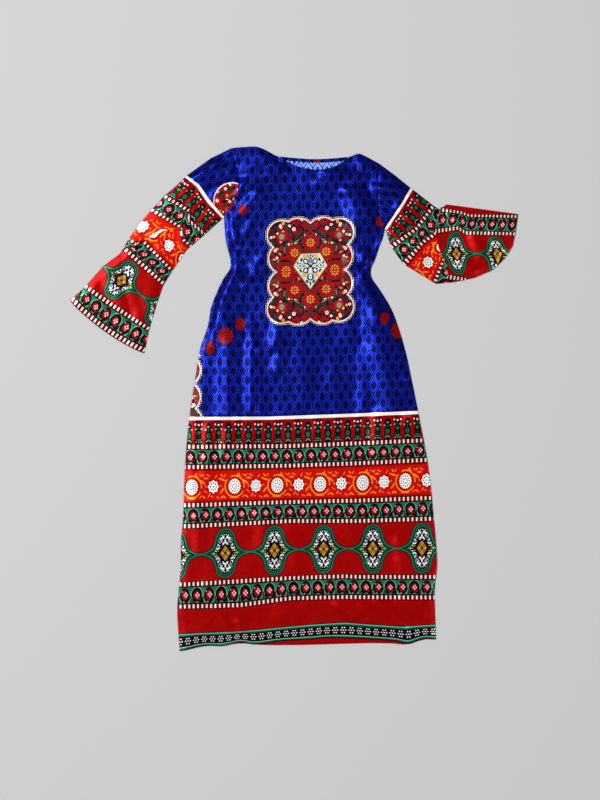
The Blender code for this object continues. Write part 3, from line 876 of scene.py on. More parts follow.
def cap_wall(cloth, hand, lines, columns, up):
    """The blue cap of a sleeve, from the armhole's seam to the white stripe."""
    hole = smooth_curve(ARMHOLE[hand], np.linspace(1, 0, 60))
    first = lines[0]
    outer_way = way_of(SLEEVE_OUTER[hand], first.outer)
    inner_way = way_of(SLEEVE_INNER[hand], first.inner)
    stripe = [spot_at(SLEEVE_OUTER[hand], outer_way), np.array(first.over), spot_at(SLEEVE_INNER[hand], inner_way)]
    stripe_ways = way_along(stripe)
    across = np.array([stripe[-1][0] - stripe[0][0], stripe[-1][1] - stripe[0][1]])
    across /= np.hypot(*across)
    down = np.array([across[1], -across[0]]) if hand == "right" else np.array([-across[1], across[0]])
    count = 16
    rows = []
    for k in range(count + 1):
        t = k / count
        outer = spot_at(SLEEVE_OUTER[hand], outer_way * t)
        inner = spot_at(SLEEVE_INNER[hand], inner_way * t)
        f = columns_across(200.0, columns)
        hole_ways = way_along(hole)
        seam = np.stack([np.interp(f * hole_ways[-1], hole_ways, hole[:, c]) for c in (0, 1)], -1)
        line = np.stack(
            [np.interp(f * stripe_ways[-1], stripe_ways, [s[c] for s in stripe]) for c in (0, 1)], -1
        )
        straight = between(outer, inner, f[:, None])
        bend_seam = seam - between(seam[0], seam[-1], f[:, None])
        bend_line = line - between(line[0], line[-1], f[:, None])
        rows.append(straight + between(bend_seam, bend_line, t))
    plan = np.array(rows)
    away = plan - stripe[0]
    u, v = away @ across, away @ down
    level = np.full(count + 1, -1.0)
    place, finishes = corner_places(cloth, u, v, level)
    overlay_faces(cloth, plan, finishes, CAP_OVERLAYS if hand == "right" else [])
    top = with_height(plan, upper_surface(plan[..., 0], plan[..., 1]))
    cloth.wall(top, inner_of(top, UNDER + 0.05), place, finishes, "wrong_side", "cut_edge", up)


def lower_wall(cloth, hand, swell, up):
    """The lower layer of a sleeve, which lies on the floor with its right side down."""
    outer_ways, inner_ways = way_along(SLEEVE_OUTER[hand]), way_along(SLEEVE_INNER[hand])
    count, columns = 60, 24
    cap = 0.12
    rows = []
    f = np.linspace(0, 1, columns + 1)
    hole = smooth_curve(ARMHOLE[hand], 1 - f)
    for k in range(count + 1):
        t = k / count
        start, end = (spot_at(line, w[-1] * t) for line, w in ((SLEEVE_OUTER[hand], outer_ways), (SLEEVE_INNER[hand], inner_ways)))
        row = between(start, end, f[:, None])
        row += (hole - between(hole[0], hole[-1], f[:, None])) * max(0.0, 1 - t / cap)
        side = np.array([end[1] - start[1], start[0] - end[0]]) / np.hypot(*(end - start))
        reach = smooth_step((t - 0.8) / 0.2)
        row += side * (swell * reach) * (np.sin(math.pi * f) ** SWELL_SHAPE)[:, None]
        rows.append(row)
    plan = np.array(rows)
    level = np.linspace(-0.14, 1.0, count + 1) * LAST_SLEEVE_V
    u = np.hypot(*(plan - plan[:, :1]).transpose(2, 0, 1))
    v = np.broadcast_to(level[:, None], u.shape)
    place, finishes = corner_places(cloth, u, v, level)
    bottom, top = with_height(plan, 0.0), with_height(plan, UNDER)
    cloth.wall(bottom, top, place, finishes, "plain", "cut_edge", up)


def make_sleeve_right():
    cloth = Cloth(6)
    rows, across, level = sleeve_rows(LINES_RIGHT, SLEEVE_OUTER["right"], SLEEVE_INNER["right"], SLEEVE_STEP, 22)
    f = np.linspace(0, 1, rows.shape[1])
    ends = rows[:, -1, :2] - rows[:, 0, :2]
    side = np.stack([ends[:, 1], -ends[:, 0]], -1) / np.hypot(*ends.T)[:, None]
    reach = smooth_step((level - 444) / (LAST_SLEEVE_V - 444))
    ways = np.hypot(*(rows[..., :2] - rows[:, :1, :2]).transpose(2, 0, 1))
    f = np.clip(ways / ways[:, -1:], 0, 1)
    rows[..., :2] += side[:, None] * (CUFF_SWELL * reach[:, None] * np.sin(math.pi * f) ** SWELL_SHAPE)[..., None]
    cap_wall(cloth, "right", LINES_RIGHT, 44, False)
    sleeve_wall(cloth, rows, across, level, 0.0, False)
    lower_wall(cloth, "right", CUFF_SWELL, True)
    return cloth.write("sleeve_right_cloth")


def make_sleeve_left():
    cloth = Cloth(8)
    cap_wall(cloth, "left", LINES_LEFT_ARM, 44, True)
    arm_outer = SLEEVE_OUTER["left"][:-1] + [Spot(404, 475), Spot(409, 460), Spot(421, 400), Spot(432, 338)]
    rows, across, level = sleeve_rows(LINES_LEFT_ARM, arm_outer, SLEEVE_INNER["left"], SLEEVE_STEP, 18)
    sleeve_wall(cloth, rows, across, level, 0.0)
    bell_edge = [
        Spot(424, 333),
        Spot(430, 350),
        Spot(422, 390),
        Spot(407, 410),
        Spot(394, 450),
        Spot(393, 480),
        Spot(400, 510),
        Spot(410, 535),
    ]
    rows, across, level = sleeve_rows(LINES_LEFT_BELL, bell_edge, SLEEVE_INNER["left"], SLEEVE_STEP, 26)
    sleeve_wall(cloth, rows, across, level, 1.2)
    lower_wall(cloth, "left", 0.0, False)
    return cloth.write("sleeve_left_cloth")


STRIP_PLACE = 305.0  # how far above the stripe a strip's print is from


def strip_between(name, ends, outer, inner, widest, finish, z):
    """A turned-in edge that shows past the front, as a thin strip that lies on the back."""
    toward = 1 if height_at(inner, sum(ends) / 2) > height_at(outer, sum(ends) / 2) else -1
    x = np.linspace(ends[0], ends[1], 90)
    edge = height_at(outer, x)
    front = height_at(inner, x) - toward * 2 * GAP
    width = np.minimum(widest, np.abs(front - edge))
    steps = np.linspace(0, 1, 7)
    plan = np.stack([np.stack([x, edge + toward * width * f], -1) for f in steps])
    if toward < 0:
        plan = plan[::-1]
    cloth = Cloth(2)
    round_over = np.sqrt(np.clip(1 - (2 * steps - 1) ** 2, 0, 1))
    height = z + 0.5 * round_over[:, None] * np.ones(len(x))
    u = plan[..., 0]
    v = (steps[:, None] - 0.5) * width[None, :] - STRIP_PLACE
    place = np.stack([np.stack([q[:-1, :-1], q[:-1, 1:], q[1:, 1:], q[1:, :-1]], -1) for q in (u, v)], -1)
    finishes = np.full((len(steps) - 1, len(x) - 1), cloth.finish(finish))
    top = with_height(plan, height)
    cloth.wall(top, with_height(plan, z - 0.45), place, finishes, finish, "cut_edge")
    return cloth.write(name)


# The prints, charted in millimetres of cloth, with u to the right and v down.
SOFT = 0.5  # how blurred a shape's edge is
FAR = 5000.0  # past the cloth, where a chart doesn't repeat
Stroke = namedtuple("Stroke", "x y long wide turn paint")
Petal = namedtuple("Petal", "x y rx ry turn paint")
Fibre = namedtuple("Fibre", "roughness metallic shine tint")

SATIN = Fibre(0.35, 0.35, 0.14, (1.0, 0.5, 0.45, 1.0))
BLUE_SATIN = Fibre(0.4, None, 0.16, (0.3, 0.6, 1.0, 1.0))
LEAST_METALLIC, BLUE_METALLIC = 0.2, 2.6  # of the blue satin, and what its bluest threads add
WRONG_SIDE = Fibre(0.6, 0.0, 0.1, (1.0, 1.0, 1.0, 1.0))


def paint(red, green, blue):
    """A colour given as it looks, from 0 to 255, as the shader takes it."""
    parts = []
    for part in (red, green, blue):
        level = part / 255
        parts.append(level / 12.92 if level < 0.04045 else ((level + 0.055) / 1.055) ** 2.4)
    return (*parts, 1.0)


INK = paint(8, 4, 12)
NAVY = paint(3, 1, 30)
DARK_BLUE = paint(3, 1, 52)
ROYAL = paint(5, 1, 96)
BRIGHT_BLUE = paint(28, 48, 198)
WHITE = paint(250, 248, 244)
PEARL = paint(206, 212, 208)
BLUSH = paint(252, 226, 214)
RED = paint(160, 1, 1)
DEEP_RED = paint(158, 1, 2)
MAROON = paint(96, 0, 14)
BRICK = paint(152, 9, 2)
BERRY = paint(158, 4, 24)
GREEN = paint(14, 114, 82)
PALE_GREEN = paint(116, 190, 162)
GREY_GREEN = paint(130, 150, 130)
DARK_GREEN = paint(0, 48, 36)
TEAL = paint(10, 84, 84)
GOLD = paint(214, 164, 60)
OLD_GOLD = paint(170, 120, 36)
ORANGE = paint(255, 142, 28)
CORAL = paint(255, 104, 56)
VERMILION = paint(200, 12, 1)
LILAC = paint(150, 140, 168)
PALE_BLUE = paint(132, 166, 240)
STEEL_BLUE = paint(40, 62, 160)


class Print:
    """The colour of one printed band, laid down shape by shape."""

    def __init__(self, name, ground, fibre=SATIN):
        self.material = bpy.data.materials.new(name)
        self.material.use_nodes = True
        self.tree = self.material.node_tree
        self.shader = self.tree.nodes["Principled BSDF"]
        self.shader.inputs["Roughness"].default_value = fibre.roughness
        self.blue_threads = fibre.metallic is None
        if not self.blue_threads:
            self.shader.inputs["Metallic"].default_value = fibre.metallic
        self.shader.inputs["Specular IOR Level"].default_value = fibre.shine
        self.shader.inputs["Specular Tint"].default_value = fibre.tint
        self.place = self.add("ShaderNodeAttribute", attribute_name="print_place").outputs["Vector"]
        self.colour = ground

    def add(self, kind, **settings):
        node = self.tree.nodes.new(kind)
        for key, value in settings.items():
            setattr(node, key, value)
        return node

    def feed(self, node, *values):
        for socket, value in zip(node.inputs, values):
            if isinstance(value, bpy.types.NodeSocket):
                self.tree.links.new(value, socket)
            elif value is not None:
                socket.default_value = value
        return node

    def math(self, operation, *values, clamp=False):
        node = self.add("ShaderNodeMath", operation=operation, use_clamp=clamp)
        return self.feed(node, *values).outputs[0]

    def vector(self, operation, *values):
        node = self.add("ShaderNodeVectorMath", operation=operation)
        self.feed(node, *values)
        return node.outputs["Value" if operation in ("LENGTH", "DOT_PRODUCT") else "Vector"]

    def repeated(self, across, down=2 * FAR, place=None):
        """The place in a repeat of the given size, from its middle."""
        place = place or self.place
        half = (across / 2, down / 2, 1.0)
        return self.vector("WRAP", place, half, tuple(-side for side in half))

    def moved(self, place, x, y):
        return self.vector("SUBTRACT", place, (x, y, 0.0))

    def mirrored(self, place, across=True, down=False):
        """The place folded over, so that a shape shows on both sides of the middle."""
        if across and down:
            return self.vector("ABSOLUTE", place)
        return self.vector("MAXIMUM", place, self.vector("MULTIPLY", place, (-1.0, 1.0, 1.0)))

    def parts(self, place):
        node = self.add("ShaderNodeSeparateXYZ")
        self.feed(node, place)
        return node.outputs[0], node.outputs[1]

    def turned(self, place, x, y, degrees):
        node = self.add("ShaderNodeVectorRotate", rotation_type="Z_AXIS")
        self.tree.links.new(place, node.inputs["Vector"])
        node.inputs["Center"].default_value = (x, y, 0.0)
        node.inputs["Angle"].default_value = -math.radians(degrees)
        return node.outputs["Vector"]

    def joined(self, across, down):
        node = self.add("ShaderNodeCombineXYZ")
        self.feed(node, across, down, 0.0)
        return node.outputs[0]

    def lay(self, mask, colour):
        node = self.add("ShaderNodeMix", data_type="RGBA")
        factor, under, over = node.inputs[0], node.inputs[6], node.inputs[7]
        for socket, value in ((factor, mask), (under, self.colour), (over, colour)):
            if isinstance(value, bpy.types.NodeSocket):
                self.tree.links.new(value, socket)
            else:
                socket.default_value = value
        self.colour = node.outputs[2]

    def within(self, distance, limit, sharp=1.0):
        """A mask of where a distance, in millimetres over sharp, is under a limit."""
        return self.math("MULTIPLY_ADD", distance, -sharp / SOFT, limit * sharp / SOFT + 0.5, clamp=True)

    def reach(self, place, x, y, rx, ry):
        q = self.vector("MULTIPLY_ADD", place, (1 / rx, 1 / ry, 0.0), (-x / rx, -y / ry, 0.0))
        return self.vector("LENGTH", q)

    def oval(self, place, x, y, rx, ry, colour, turn=0.0):
        if turn:
            place = self.turned(place, x, y, turn)
        self.lay(self.within(self.reach(place, x, y, rx, ry), 1.0, min(rx, ry)), colour)

    def ring(self, place, x, y, rx, ry, width, colour):
        size = min(rx, ry)
        off = self.math("ABSOLUTE", self.math("SUBTRACT", self.reach(place, x, y, rx, ry), 1.0))
        self.lay(self.within(off, width / 2 / size, size), colour)

    def lozenge(self, place, x, y, rx, ry, colour):
        q = self.vector("ABSOLUTE", self.vector("SUBTRACT", place, (x, y, 0.0)))
        away = self.vector("DOT_PRODUCT", q, (1 / rx, 1 / ry, 0.0))
        self.lay(self.within(away, 1.0, min(rx, ry)), colour)

    def bar(self, level, middle, half, colour):
        self.lay(self.math("COMPARE", level, middle, half), colour)

    def round_the(self, place, x, y, squeeze=1.0):
        """How far a place is from a middle, and at what angle round it."""
        q = self.vector("MULTIPLY_ADD", place, (1.0, squeeze, 0.0), (-x, -y * squeeze, 0.0))
        across, down = self.parts(q)
        return self.vector("LENGTH", q), self.math("ARCTAN2", down, across)

    def scallops(self, away, angle, radius, count, depth, colour):
        wave = self.math("COSINE", self.math("MULTIPLY", angle, float(count)))
        limit = self.math("MULTIPLY_ADD", wave, radius * depth, radius)
        self.lay(self.within(self.math("SUBTRACT", away, limit), 0.0), colour)

    def dots_round(self, away, angle, radius, count, size, colour, shift=0.0, long=1.0):
        """A ring of dots, which long stretches away from the middle."""
        step = 2 * math.pi / count
        spun = self.math("ADD", angle, shift * step) if shift else angle
        near = self.math("WRAP", spun, step / 2, -step / 2)
        place = self.joined(self.math("MULTIPLY", near, radius), self.math("SUBTRACT", away, radius))
        self.oval(place, 0.0, 0.0, size, size * long, colour)

    def finish(self):
        """Joins the colour to the shader, with the weave and the cloth's small waves as bumps."""
        if isinstance(self.colour, bpy.types.NodeSocket):
            self.tree.links.new(self.colour, self.shader.inputs["Base Color"])
        else:
            self.shader.inputs["Base Color"].default_value = self.colour
        if self.blue_threads:
            split = self.add("ShaderNodeSeparateColor")
            self.tree.links.new(self.colour, split.inputs[0])
            bluer = self.math("SUBTRACT", split.outputs[2], split.outputs[0], clamp=True)
            metallic = self.math("MULTIPLY_ADD", bluer, BLUE_METALLIC, LEAST_METALLIC, clamp=True)
            self.tree.links.new(metallic, self.shader.inputs["Metallic"])
        where = self.add("ShaderNodeTexCoord").outputs["Object"]
        waves = self.add("ShaderNodeTexNoise")
        self.tree.links.new(where, waves.inputs["Vector"])
        waves.inputs["Scale"].default_value = WAVE_SCALE
        waves.inputs["Detail"].default_value = 2.0
        bump = self.add("ShaderNodeBump")
        bump.inputs["Strength"].default_value = 1.0
        bump.inputs["Distance"].default_value = WAVE_HEIGHT * MILLIMETRE
        self.tree.links.new(waves.outputs[0], bump.inputs["Height"])
        weave = self.add("ShaderNodeTexNoise")
        stretched = self.vector("MULTIPLY", where, WEAVE)
        self.tree.links.new(stretched, weave.inputs["Vector"])
        weave.inputs["Scale"].default_value = 1.0
        weave.inputs["Detail"].default_value = 1.0
        fine = self.add("ShaderNodeBump")
        fine.inputs["Strength"].default_value = 0.5
        fine.inputs["Distance"].default_value = WEAVE_HEIGHT * MILLIMETRE
        self.tree.links.new(weave.outputs[0], fine.inputs["Height"])
        self.tree.links.new(bump.outputs[0], fine.inputs["Normal"])
        self.tree.links.new(fine.outputs[0], self.shader.inputs["Normal"])
        return self.material


WAVE_SCALE = 22.0  # waves of the cloth in a metre
WAVE_HEIGHT = 2.2
WEAVE = (900.0, 260.0, 900.0)  # threads in a metre, longer down the cloth
WEAVE_HEIGHT = 0.08

# The blue ground's net of pointed cells, each with a drop in it.
CELL = 26.0
CELL_DROP = 50.8


def lay_lattice(cloth):
    across, down = cloth.parts(cloth.place)
    wave = cloth.math("COSINE", cloth.math("MULTIPLY", down, 2 * math.pi / CELL_DROP))
    side = cloth.math("ABSOLUTE", cloth.math("WRAP", across, CELL / 2, -CELL / 2))
    seam = cloth.math("SUBTRACT", side, cloth.math("MULTIPLY_ADD", wave, CELL / 4, CELL / 4))
    off = cloth.math("ABSOLUTE", seam)
    cloth.lay(cloth.within(off, 4.4), BRIGHT_BLUE)
    cloth.lay(cloth.within(off, 1.8), DARK_BLUE)
    for shift in (0.0, 0.5):
        place = cloth.moved(cloth.place, CELL * shift, CELL_DROP * shift)
        cell = cloth.repeated(CELL, CELL_DROP, place)
        narrow = cloth.math("MULTIPLY_ADD", cloth.parts(cell)[1], -0.08, 1.4)
        cell = cloth.vector("MULTIPLY", cell, cloth.joined(narrow, 1.0))
        cloth.oval(cell, 0.0, 1.5, 4.8, 7.6, NAVY)
    cloth.bar(down, -1.0, 2.2, INK)


def lattice_print():
    cloth = Print("lattice", ROYAL, BLUE_SATIN)
    lay_lattice(cloth)
    return cloth


def stripe_print():
    cloth = Print("stripe", WHITE)
    cloth.bar(cloth.parts(cloth.place)[1], 5.2, 1.2, INK)
    return cloth


def dash_print():
    cloth = Print("dash", MAROON)
    across, down = cloth.parts(cloth.vector("ABSOLUTE", cloth.repeated(12.2)))
    shape = cloth.math("MAXIMUM", across, cloth.math("SUBTRACT", down, 2.6))
    cloth.lay(cloth.within(shape, 2.4), BLUSH)
    cloth.bar(down, 7.7, 1.9, INK)
    return cloth


def urn_print():
    cloth = Print("urn", RED)
    place = cloth.mirrored(cloth.repeated(55.4))
    cloth.oval(place, 0.0, -27.0, 12.5, 6.5, MAROON)
    cloth.oval(place, 0.0, -9.0, 10.5, 10.0, INK)
    cloth.oval(place, 0.0, 9.0, 9.0, 13.0, INK)
    cloth.oval(place, 0.0, 25.0, 12.5, 9.5, INK)
    cloth.oval(place, 27.7, -10.0, 9.5, 17.0, INK)
    cloth.oval(place, 27.7, 10.0, 10.2, 13.5, INK)
    cloth.oval(place, 27.7, 27.0, 12.0, 8.0, INK)
    cloth.oval(place, 13.8, -24.0, 1.5, 3.4, INK)
    cloth.oval(place, 0.0, -20.0, 2.2, 2.8, WHITE)
    cloth.oval(place, 9.3, -22.0, 1.9, 2.4, WHITE)
    cloth.oval(place, 7.5, -8.5, 2.6, 2.8, GREY_GREEN)
    cloth.oval(place, 0.0, -11.0, 1.8, 3.0, TEAL)
    cloth.lozenge(place, 0.0, 2.5, 5.0, 6.0, GREEN)
    cloth.oval(place, 0.0, 14.0, 4.5, 2.2, DARK_GREEN)
    cloth.oval(place, 0.0, 22.0, 8.0, 2.2, GREEN)
    cloth.oval(place, 0.0, 28.0, 1.9, 2.0, GREY_GREEN)
    cloth.oval(place, 7.0, 28.0, 1.9, 2.0, GREY_GREEN)
    cloth.oval(place, 27.7, -14.5, 3.4, 2.4, GREY_GREEN)
    cloth.oval(place, 19.4, -6.5, 2.4, 2.6, GREY_GREEN)
    cloth.oval(place, 27.7, -4.0, 1.4, 5.0, TEAL)
    cloth.oval(place, 27.7, 10.5, 5.2, 7.4, GREEN)
    cloth.oval(place, 27.7, 10.5, 1.4, 7.0, DARK_GREEN)
    cloth.oval(place, 24.2, 25.0, 5.2, 1.4, GREY_GREEN, turn=-42.0)
    return cloth


def vine_print():
    cloth = Print("vine", GREEN)
    oval = cloth.repeated(67.3)
    leaf = cloth.repeated(67.3, place=cloth.moved(cloth.place, 33.65, 0.0))
    across, down = cloth.parts(cloth.mirrored(cloth.repeated(67.3)))
    cloth.ring(oval, 0.0, 3.0, 15.8, 19.8, 1.2, PALE_GREEN)
    cloth.ring(leaf, 0.0, -1.5, 15.8, 17.8, 1.2, PALE_GREEN)
    cloth.oval(oval, 0.0, 0.5, 14.6, 18.6, INK)
    cloth.oval(leaf, -0.5, -1.0, 14.8, 17.2, INK)
    cloth.lay(cloth.math("MULTIPLY", cloth.within(cloth.math("ABSOLUTE", cloth.math("SUBTRACT", across, 16.8)), 1.6), cloth.math("GREATER_THAN", down, 3.0)), INK)
    cloth.oval(leaf, 8.0, 9.5, 10.5, 7.4, INK, turn=48.0)
    cloth.oval(leaf, -7.5, 12.0, 6.0, 6.5, INK)
    cloth.oval(oval, 0.0, 0.0, 8.4, 11.8, BERRY)
    cloth.oval(leaf, -0.5, 0.5, 8.4, 9.8, BERRY)
    cloth.oval(leaf, 4.6, 7.6, 6.0, 3.6, BERRY, turn=48.0)
    for place, x, y in ((oval, 2.6, -0.5), (leaf, 1.2, 0.5)):
        q = cloth.vector("ABSOLUTE", cloth.moved(place, x, y))
        cloth.oval(q, 0.0, 4.4, 1.9, 2.1, BLUSH)
        cloth.oval(q, 4.0, 0.0, 1.9, 2.1, BLUSH)
    cloth.oval(oval, -3.0, 16.5, 2.0, 1.6, PALE_GREEN)
    cloth.oval(oval, -8.0, -9.0, 1.7, 1.7, PALE_GREEN)
    cloth.bar(down, 20.0, 1.2, INK)
    cloth.bar(down, -20.0, 1.2, INK)
    return cloth


FLAME_STROKES = [
    Stroke(45.5, -28.0, 6.5, 2.1, 27, CORAL),
    Stroke(-51.7, -24.5, 6.0, 1.7, -58, CORAL),
    Stroke(-35.5, -27.0, 5.5, 1.7, 45, ORANGE),
    Stroke(-27.0, -26.8, 5.2, 1.7, -62, CORAL),
    Stroke(-35.0, -16.0, 10.5, 2.3, 22, ORANGE),
    Stroke(9.0, -28.5, 7.5, 1.8, -45, ORANGE),
    Stroke(13.5, -25.5, 5.5, 1.8, 38, ORANGE),
    Stroke(24.5, -28.5, 4.6, 1.7, 32, CORAL),
    Stroke(31.0, -27.8, 4.6, 1.7, -52, ORANGE),
    Stroke(39.5, -20.0, 7.0, 3.0, 4, CORAL),
    Stroke(29.5, -10.0, 9.5, 2.6, 38, ORANGE),
    Stroke(38.5, 1.5, 4.8, 1.8, 78, CORAL),
    Stroke(37.5, 16.0, 6.4, 1.7, 36, CORAL),
    Stroke(24.8, 30.0, 5.6, 1.8, -36, CORAL),
    Stroke(33.0, 30.5, 5.4, 1.8, 42, ORANGE),
    Stroke(48.6, 26.0, 6.8, 1.9, -56, CORAL),
    Stroke(-46.5, 33.0, 5.2, 1.8, 28, CORAL),
    Stroke(-34.0, 31.5, 4.6, 1.7, -42, ORANGE),
    Stroke(-28.2, 32.0, 4.6, 1.7, 44, ORANGE),
    Stroke(-2.0, 33.8, 12.5, 1.7, 3, ORANGE),
    Stroke(-34.3, 14.0, 9.5, 1.8, -54, ORANGE),
    Stroke(-39.5, 1.0, 4.6, 1.6, 40, CORAL),
    Stroke(56.0, 30.0, 4.2, 1.7, 18, CORAL),
]


def flame_print():
    cloth = Print("flame", VERMILION)
    place = cloth.repeated(119.0)
    small = cloth.repeated(119.0, place=cloth.moved(cloth.place, 59.5, 0.0))
    down = cloth.parts(place)[1]
    cloth.bar(down, 43.0, 3.0, DEEP_RED)
    cloth.bar(down, -43.0, 3.0, DEEP_RED)
    for stroke in FLAME_STROKES:
        cloth.oval(place, stroke.x, stroke.y, stroke.long, stroke.wide, stroke.paint, turn=stroke.turn)
    cloth.ring(place, 0.0, 3.0, 26.5, 29.0, 3.0, ORANGE)
    cloth.oval(place, -17.0, -22.0, 7.5, 5.0, VERMILION, turn=-40.0)
    cloth.oval(place, 25.0, 12.0, 5.0, 5.0, VERMILION)
    cloth.oval(place, 0.0, 3.0, 20.5, 24.5, DEEP_RED)
    cloth.oval(small, 0.0, 3.0, 17.5, 20.5, DEEP_RED)
    away, angle = cloth.round_the(place, 0.0, 3.0, squeeze=0.81)
    cloth.scallops(away, angle, 16.4, 16, 0.055, WHITE)
    cloth.dots_round(away, angle, 11.6, 12, 1.6, INK)
    cloth.dots_round(away, angle, 5.4, 6, 1.6, INK, shift=0.3)
    away, angle = cloth.round_the(small, 0.0, 3.0, squeeze=0.84)
    cloth.scallops(away, angle, 13.8, 8, 0.1, WHITE)
    cloth.dots_round(away, angle, 8.2, 8, 1.8, INK)
    cloth.oval(small, 0.0, 3.0, 1.7, 1.9, INK)
    return cloth


# One quarter of what fills a big medallion on the red band, by how far it is from the middle.
OGEE_FILL = [
    Petal(0.0, 33.0, 2.2, 7.5, 0, WHITE),
    Petal(5.0, 26.5, 2.4, 5.2, 28, WHITE),
    Petal(5.6, 43.5, 3.2, 5.0, -18, WHITE),
    Petal(11.5, 40.0, 3.4, 4.6, 24, WHITE),
    Petal(14.2, 30.0, 3.4, 4.4, -12, LILAC),
    Petal(9.5, 33.5, 1.5, 2.6, 30, WHITE),
    Petal(19.5, 22.5, 2.0, 3.4, -30, WHITE),
    Petal(15.5, 20.5, 1.7, 3.0, 30, LILAC),
    Petal(19.0, 13.5, 5.4, 2.1, -32, WHITE),
    Petal(24.5, 14.0, 1.8, 2.6, -20, WHITE),
    Petal(3.0, 50.5, 1.5, 1.6, 0, WHITE),
    Petal(9.0, 49.0, 1.5, 1.6, 0, WHITE),
    Petal(18.0, 36.0, 1.6, 2.0, 0, LILAC),
    Petal(26.0, 7.0, 1.9, 1.9, 0, WHITE),
    Petal(20.0, 6.5, 1.8, 1.8, 0, GOLD),
    Petal(31.5, 0.0, 3.8, 2.5, 0, GOLD),
    Petal(25.0, 0.0, 2.0, 2.0, 0, OLD_GOLD),
]
OGEE_RIMS = [(0.0, INK), (2.0, GREEN), (5.4, INK), (8.4, GREEN), (11.6, INK), (19.0, INK)]
OGEE_DEEP = 20.0


def ogee_print():
    cloth = Print("ogee", RED)
    place = cloth.vector("ABSOLUTE", cloth.repeated(137.0))
    across, down = cloth.parts(place)
    top = cloth.math("MAXIMUM", cloth.math("SUBTRACT", down, 42.0), 0.0)
    body = cloth.math("SUBTRACT", cloth.vector("LENGTH", cloth.joined(across, top)), 27.0)
    shape = cloth.math("SMOOTH_MIN", body, cloth.math("SUBTRACT", down, 3.0), 80.0)
    deep = cloth.math("MULTIPLY", shape, -1 / OGEE_DEEP)
    rims = stepped_ramp(cloth, deep, [(start / OGEE_DEEP, colour) for start, colour in OGEE_RIMS])
    cloth.lay(cloth.within(shape, 0.0), rims)
    for petal in OGEE_FILL:
        cloth.oval(place, petal.x, petal.y, 0.88 * petal.rx, 0.88 * petal.ry, petal.paint, turn=petal.turn)
    cloth.lozenge(place, 0.0, 0.0, 14.5, 21.5, OLD_GOLD)
    cloth.lozenge(place, 0.0, 0.0, 11.0, 17.0, INK)
    cloth.lozenge(place, 0.0, 0.0, 9.0, 14.5, OLD_GOLD)
    cloth.oval(place, 0.0, 13.0, 3.4, 4.0, GOLD)
    cloth.oval(place, 7.5, 0.0, 3.2, 3.2, GOLD)
    cloth.oval(place, 0.0, 0.0, 3.4, 4.4, INK)
    cloth.oval(place, 0.0, 13.0, 1.5, 1.8, INK)
    return cloth


def plain_print():
    return Print("plain", DEEP_RED)


def hem_print():
    cloth = Print("hem", INK)
    down = cloth.parts(cloth.place)[1]
    cloth.bar(down, -17.5, 3.4, GREEN)
    cloth.bar(down, -19.2, 1.2, PALE_GREEN)
    cloth.bar(down, 17.4, 2.6, GREEN)
    cloth.bar(down, 16.2, 1.0, PALE_GREEN)
    place = cloth.vector("ABSOLUTE", cloth.repeated(22.8))
    for x, y in ((0.0, 0.0), (6.6, 0.0), (3.3, 7.2)):
        cloth.oval(place, x, y, 1.8, 1.8, WHITE)
    return cloth


def wrong_side_print():
    cloth = Print("wrong_side", PALE_BLUE, WRONG_SIDE)
    across, down = cloth.parts(cloth.place)
    wave = cloth.math("COSINE", cloth.math("MULTIPLY", down, 2 * math.pi / CELL_DROP))
    side = cloth.math("ABSOLUTE", cloth.math("WRAP", across, CELL / 2, -CELL / 2))
    seam = cloth.math("SUBTRACT", side, cloth.math("MULTIPLY_ADD", wave, CELL / 4, CELL / 4))
    cloth.lay(cloth.within(cloth.math("ABSOLUTE", seam), 1.9), STEEL_BLUE)
    for shift in (0.0, 0.5):
        cell = cloth.repeated(CELL, CELL_DROP, cloth.moved(cloth.place, CELL * shift, CELL_DROP * shift))
        cloth.oval(cell, 0.0, 1.5, 4.6, 8.6, STEEL_BLUE)
    return cloth


def cut_edge_print():
    return Print("cut_edge", NAVY)


# The big red medallion on the chest: circles make its scalloped edge.
MEDALLION_LOBES = [(80.0, 103.0, 42.0), (72.0, 38.0, 46.0), (34.0, 104.0, 46.0)]
MEDALLION_CORE = (90.0, 120.0)
MEDALLION_LEAVES = [
    Petal(39.0, 86.0, 4.6, 15.0, 62, DARK_GREEN),
    Petal(24.0, 100.0, 3.6, 10.0, 58, DARK_GREEN),
    Petal(20.0, 112.0, 3.0, 9.0, 40, DARK_GREEN),
    Petal(72.0, 62.0, 4.2, 16.0, -14, DARK_GREEN),
    Petal(90.0, 30.0, 3.4, 12.0, 14, DARK_GREEN),
    Petal(64.0, 84.0, 4.0, 11.0, 36, DARK_GREEN),
    Petal(103.0, 80.0, 3.2, 10.0, -24, DARK_GREEN),
    Petal(60.0, 116.0, 3.2, 10.0, 66, DARK_GREEN),
    Petal(96.0, 122.0, 3.4, 9.0, -36, DARK_GREEN),
    Petal(22.0, 60.0, 2.6, 12.0, -34, DARK_GREEN),
    Petal(55.0, 26.0, 2.6, 10.0, 58, DARK_GREEN),
    Petal(38.0, 85.0, 1.3, 9.0, 62, GREY_GREEN),
    Petal(72.0, 61.0, 1.2, 9.0, -14, GREY_GREEN),
    Petal(90.0, 30.0, 1.1, 7.0, 14, GREY_GREEN),
    Petal(80.0, 98.0, 13.0, 14.0, 0, VERMILION),
    Petal(80.0, 98.0, 9.0, 10.0, 0, DARK_GREEN),
    Petal(80.0, 98.0, 7.0, 8.0, 0, GREY_GREEN),
    Petal(80.0, 98.0, 3.2, 3.8, 0, OLD_GOLD),
    Petal(46.0, 118.0, 5.0, 5.4, 0, BLUSH),
    Petal(46.0, 118.0, 2.0, 2.0, 0, BERRY),
    Petal(98.0, 60.0, 4.2, 4.8, 0, BLUSH),
    Petal(98.0, 60.0, 1.6, 1.8, 0, BERRY),
    Petal(82.0, 124.0, 3.8, 3.4, 0, BLUSH),
    Petal(60.0, 76.0, 3.0, 2.8, 0, BLUSH),
]
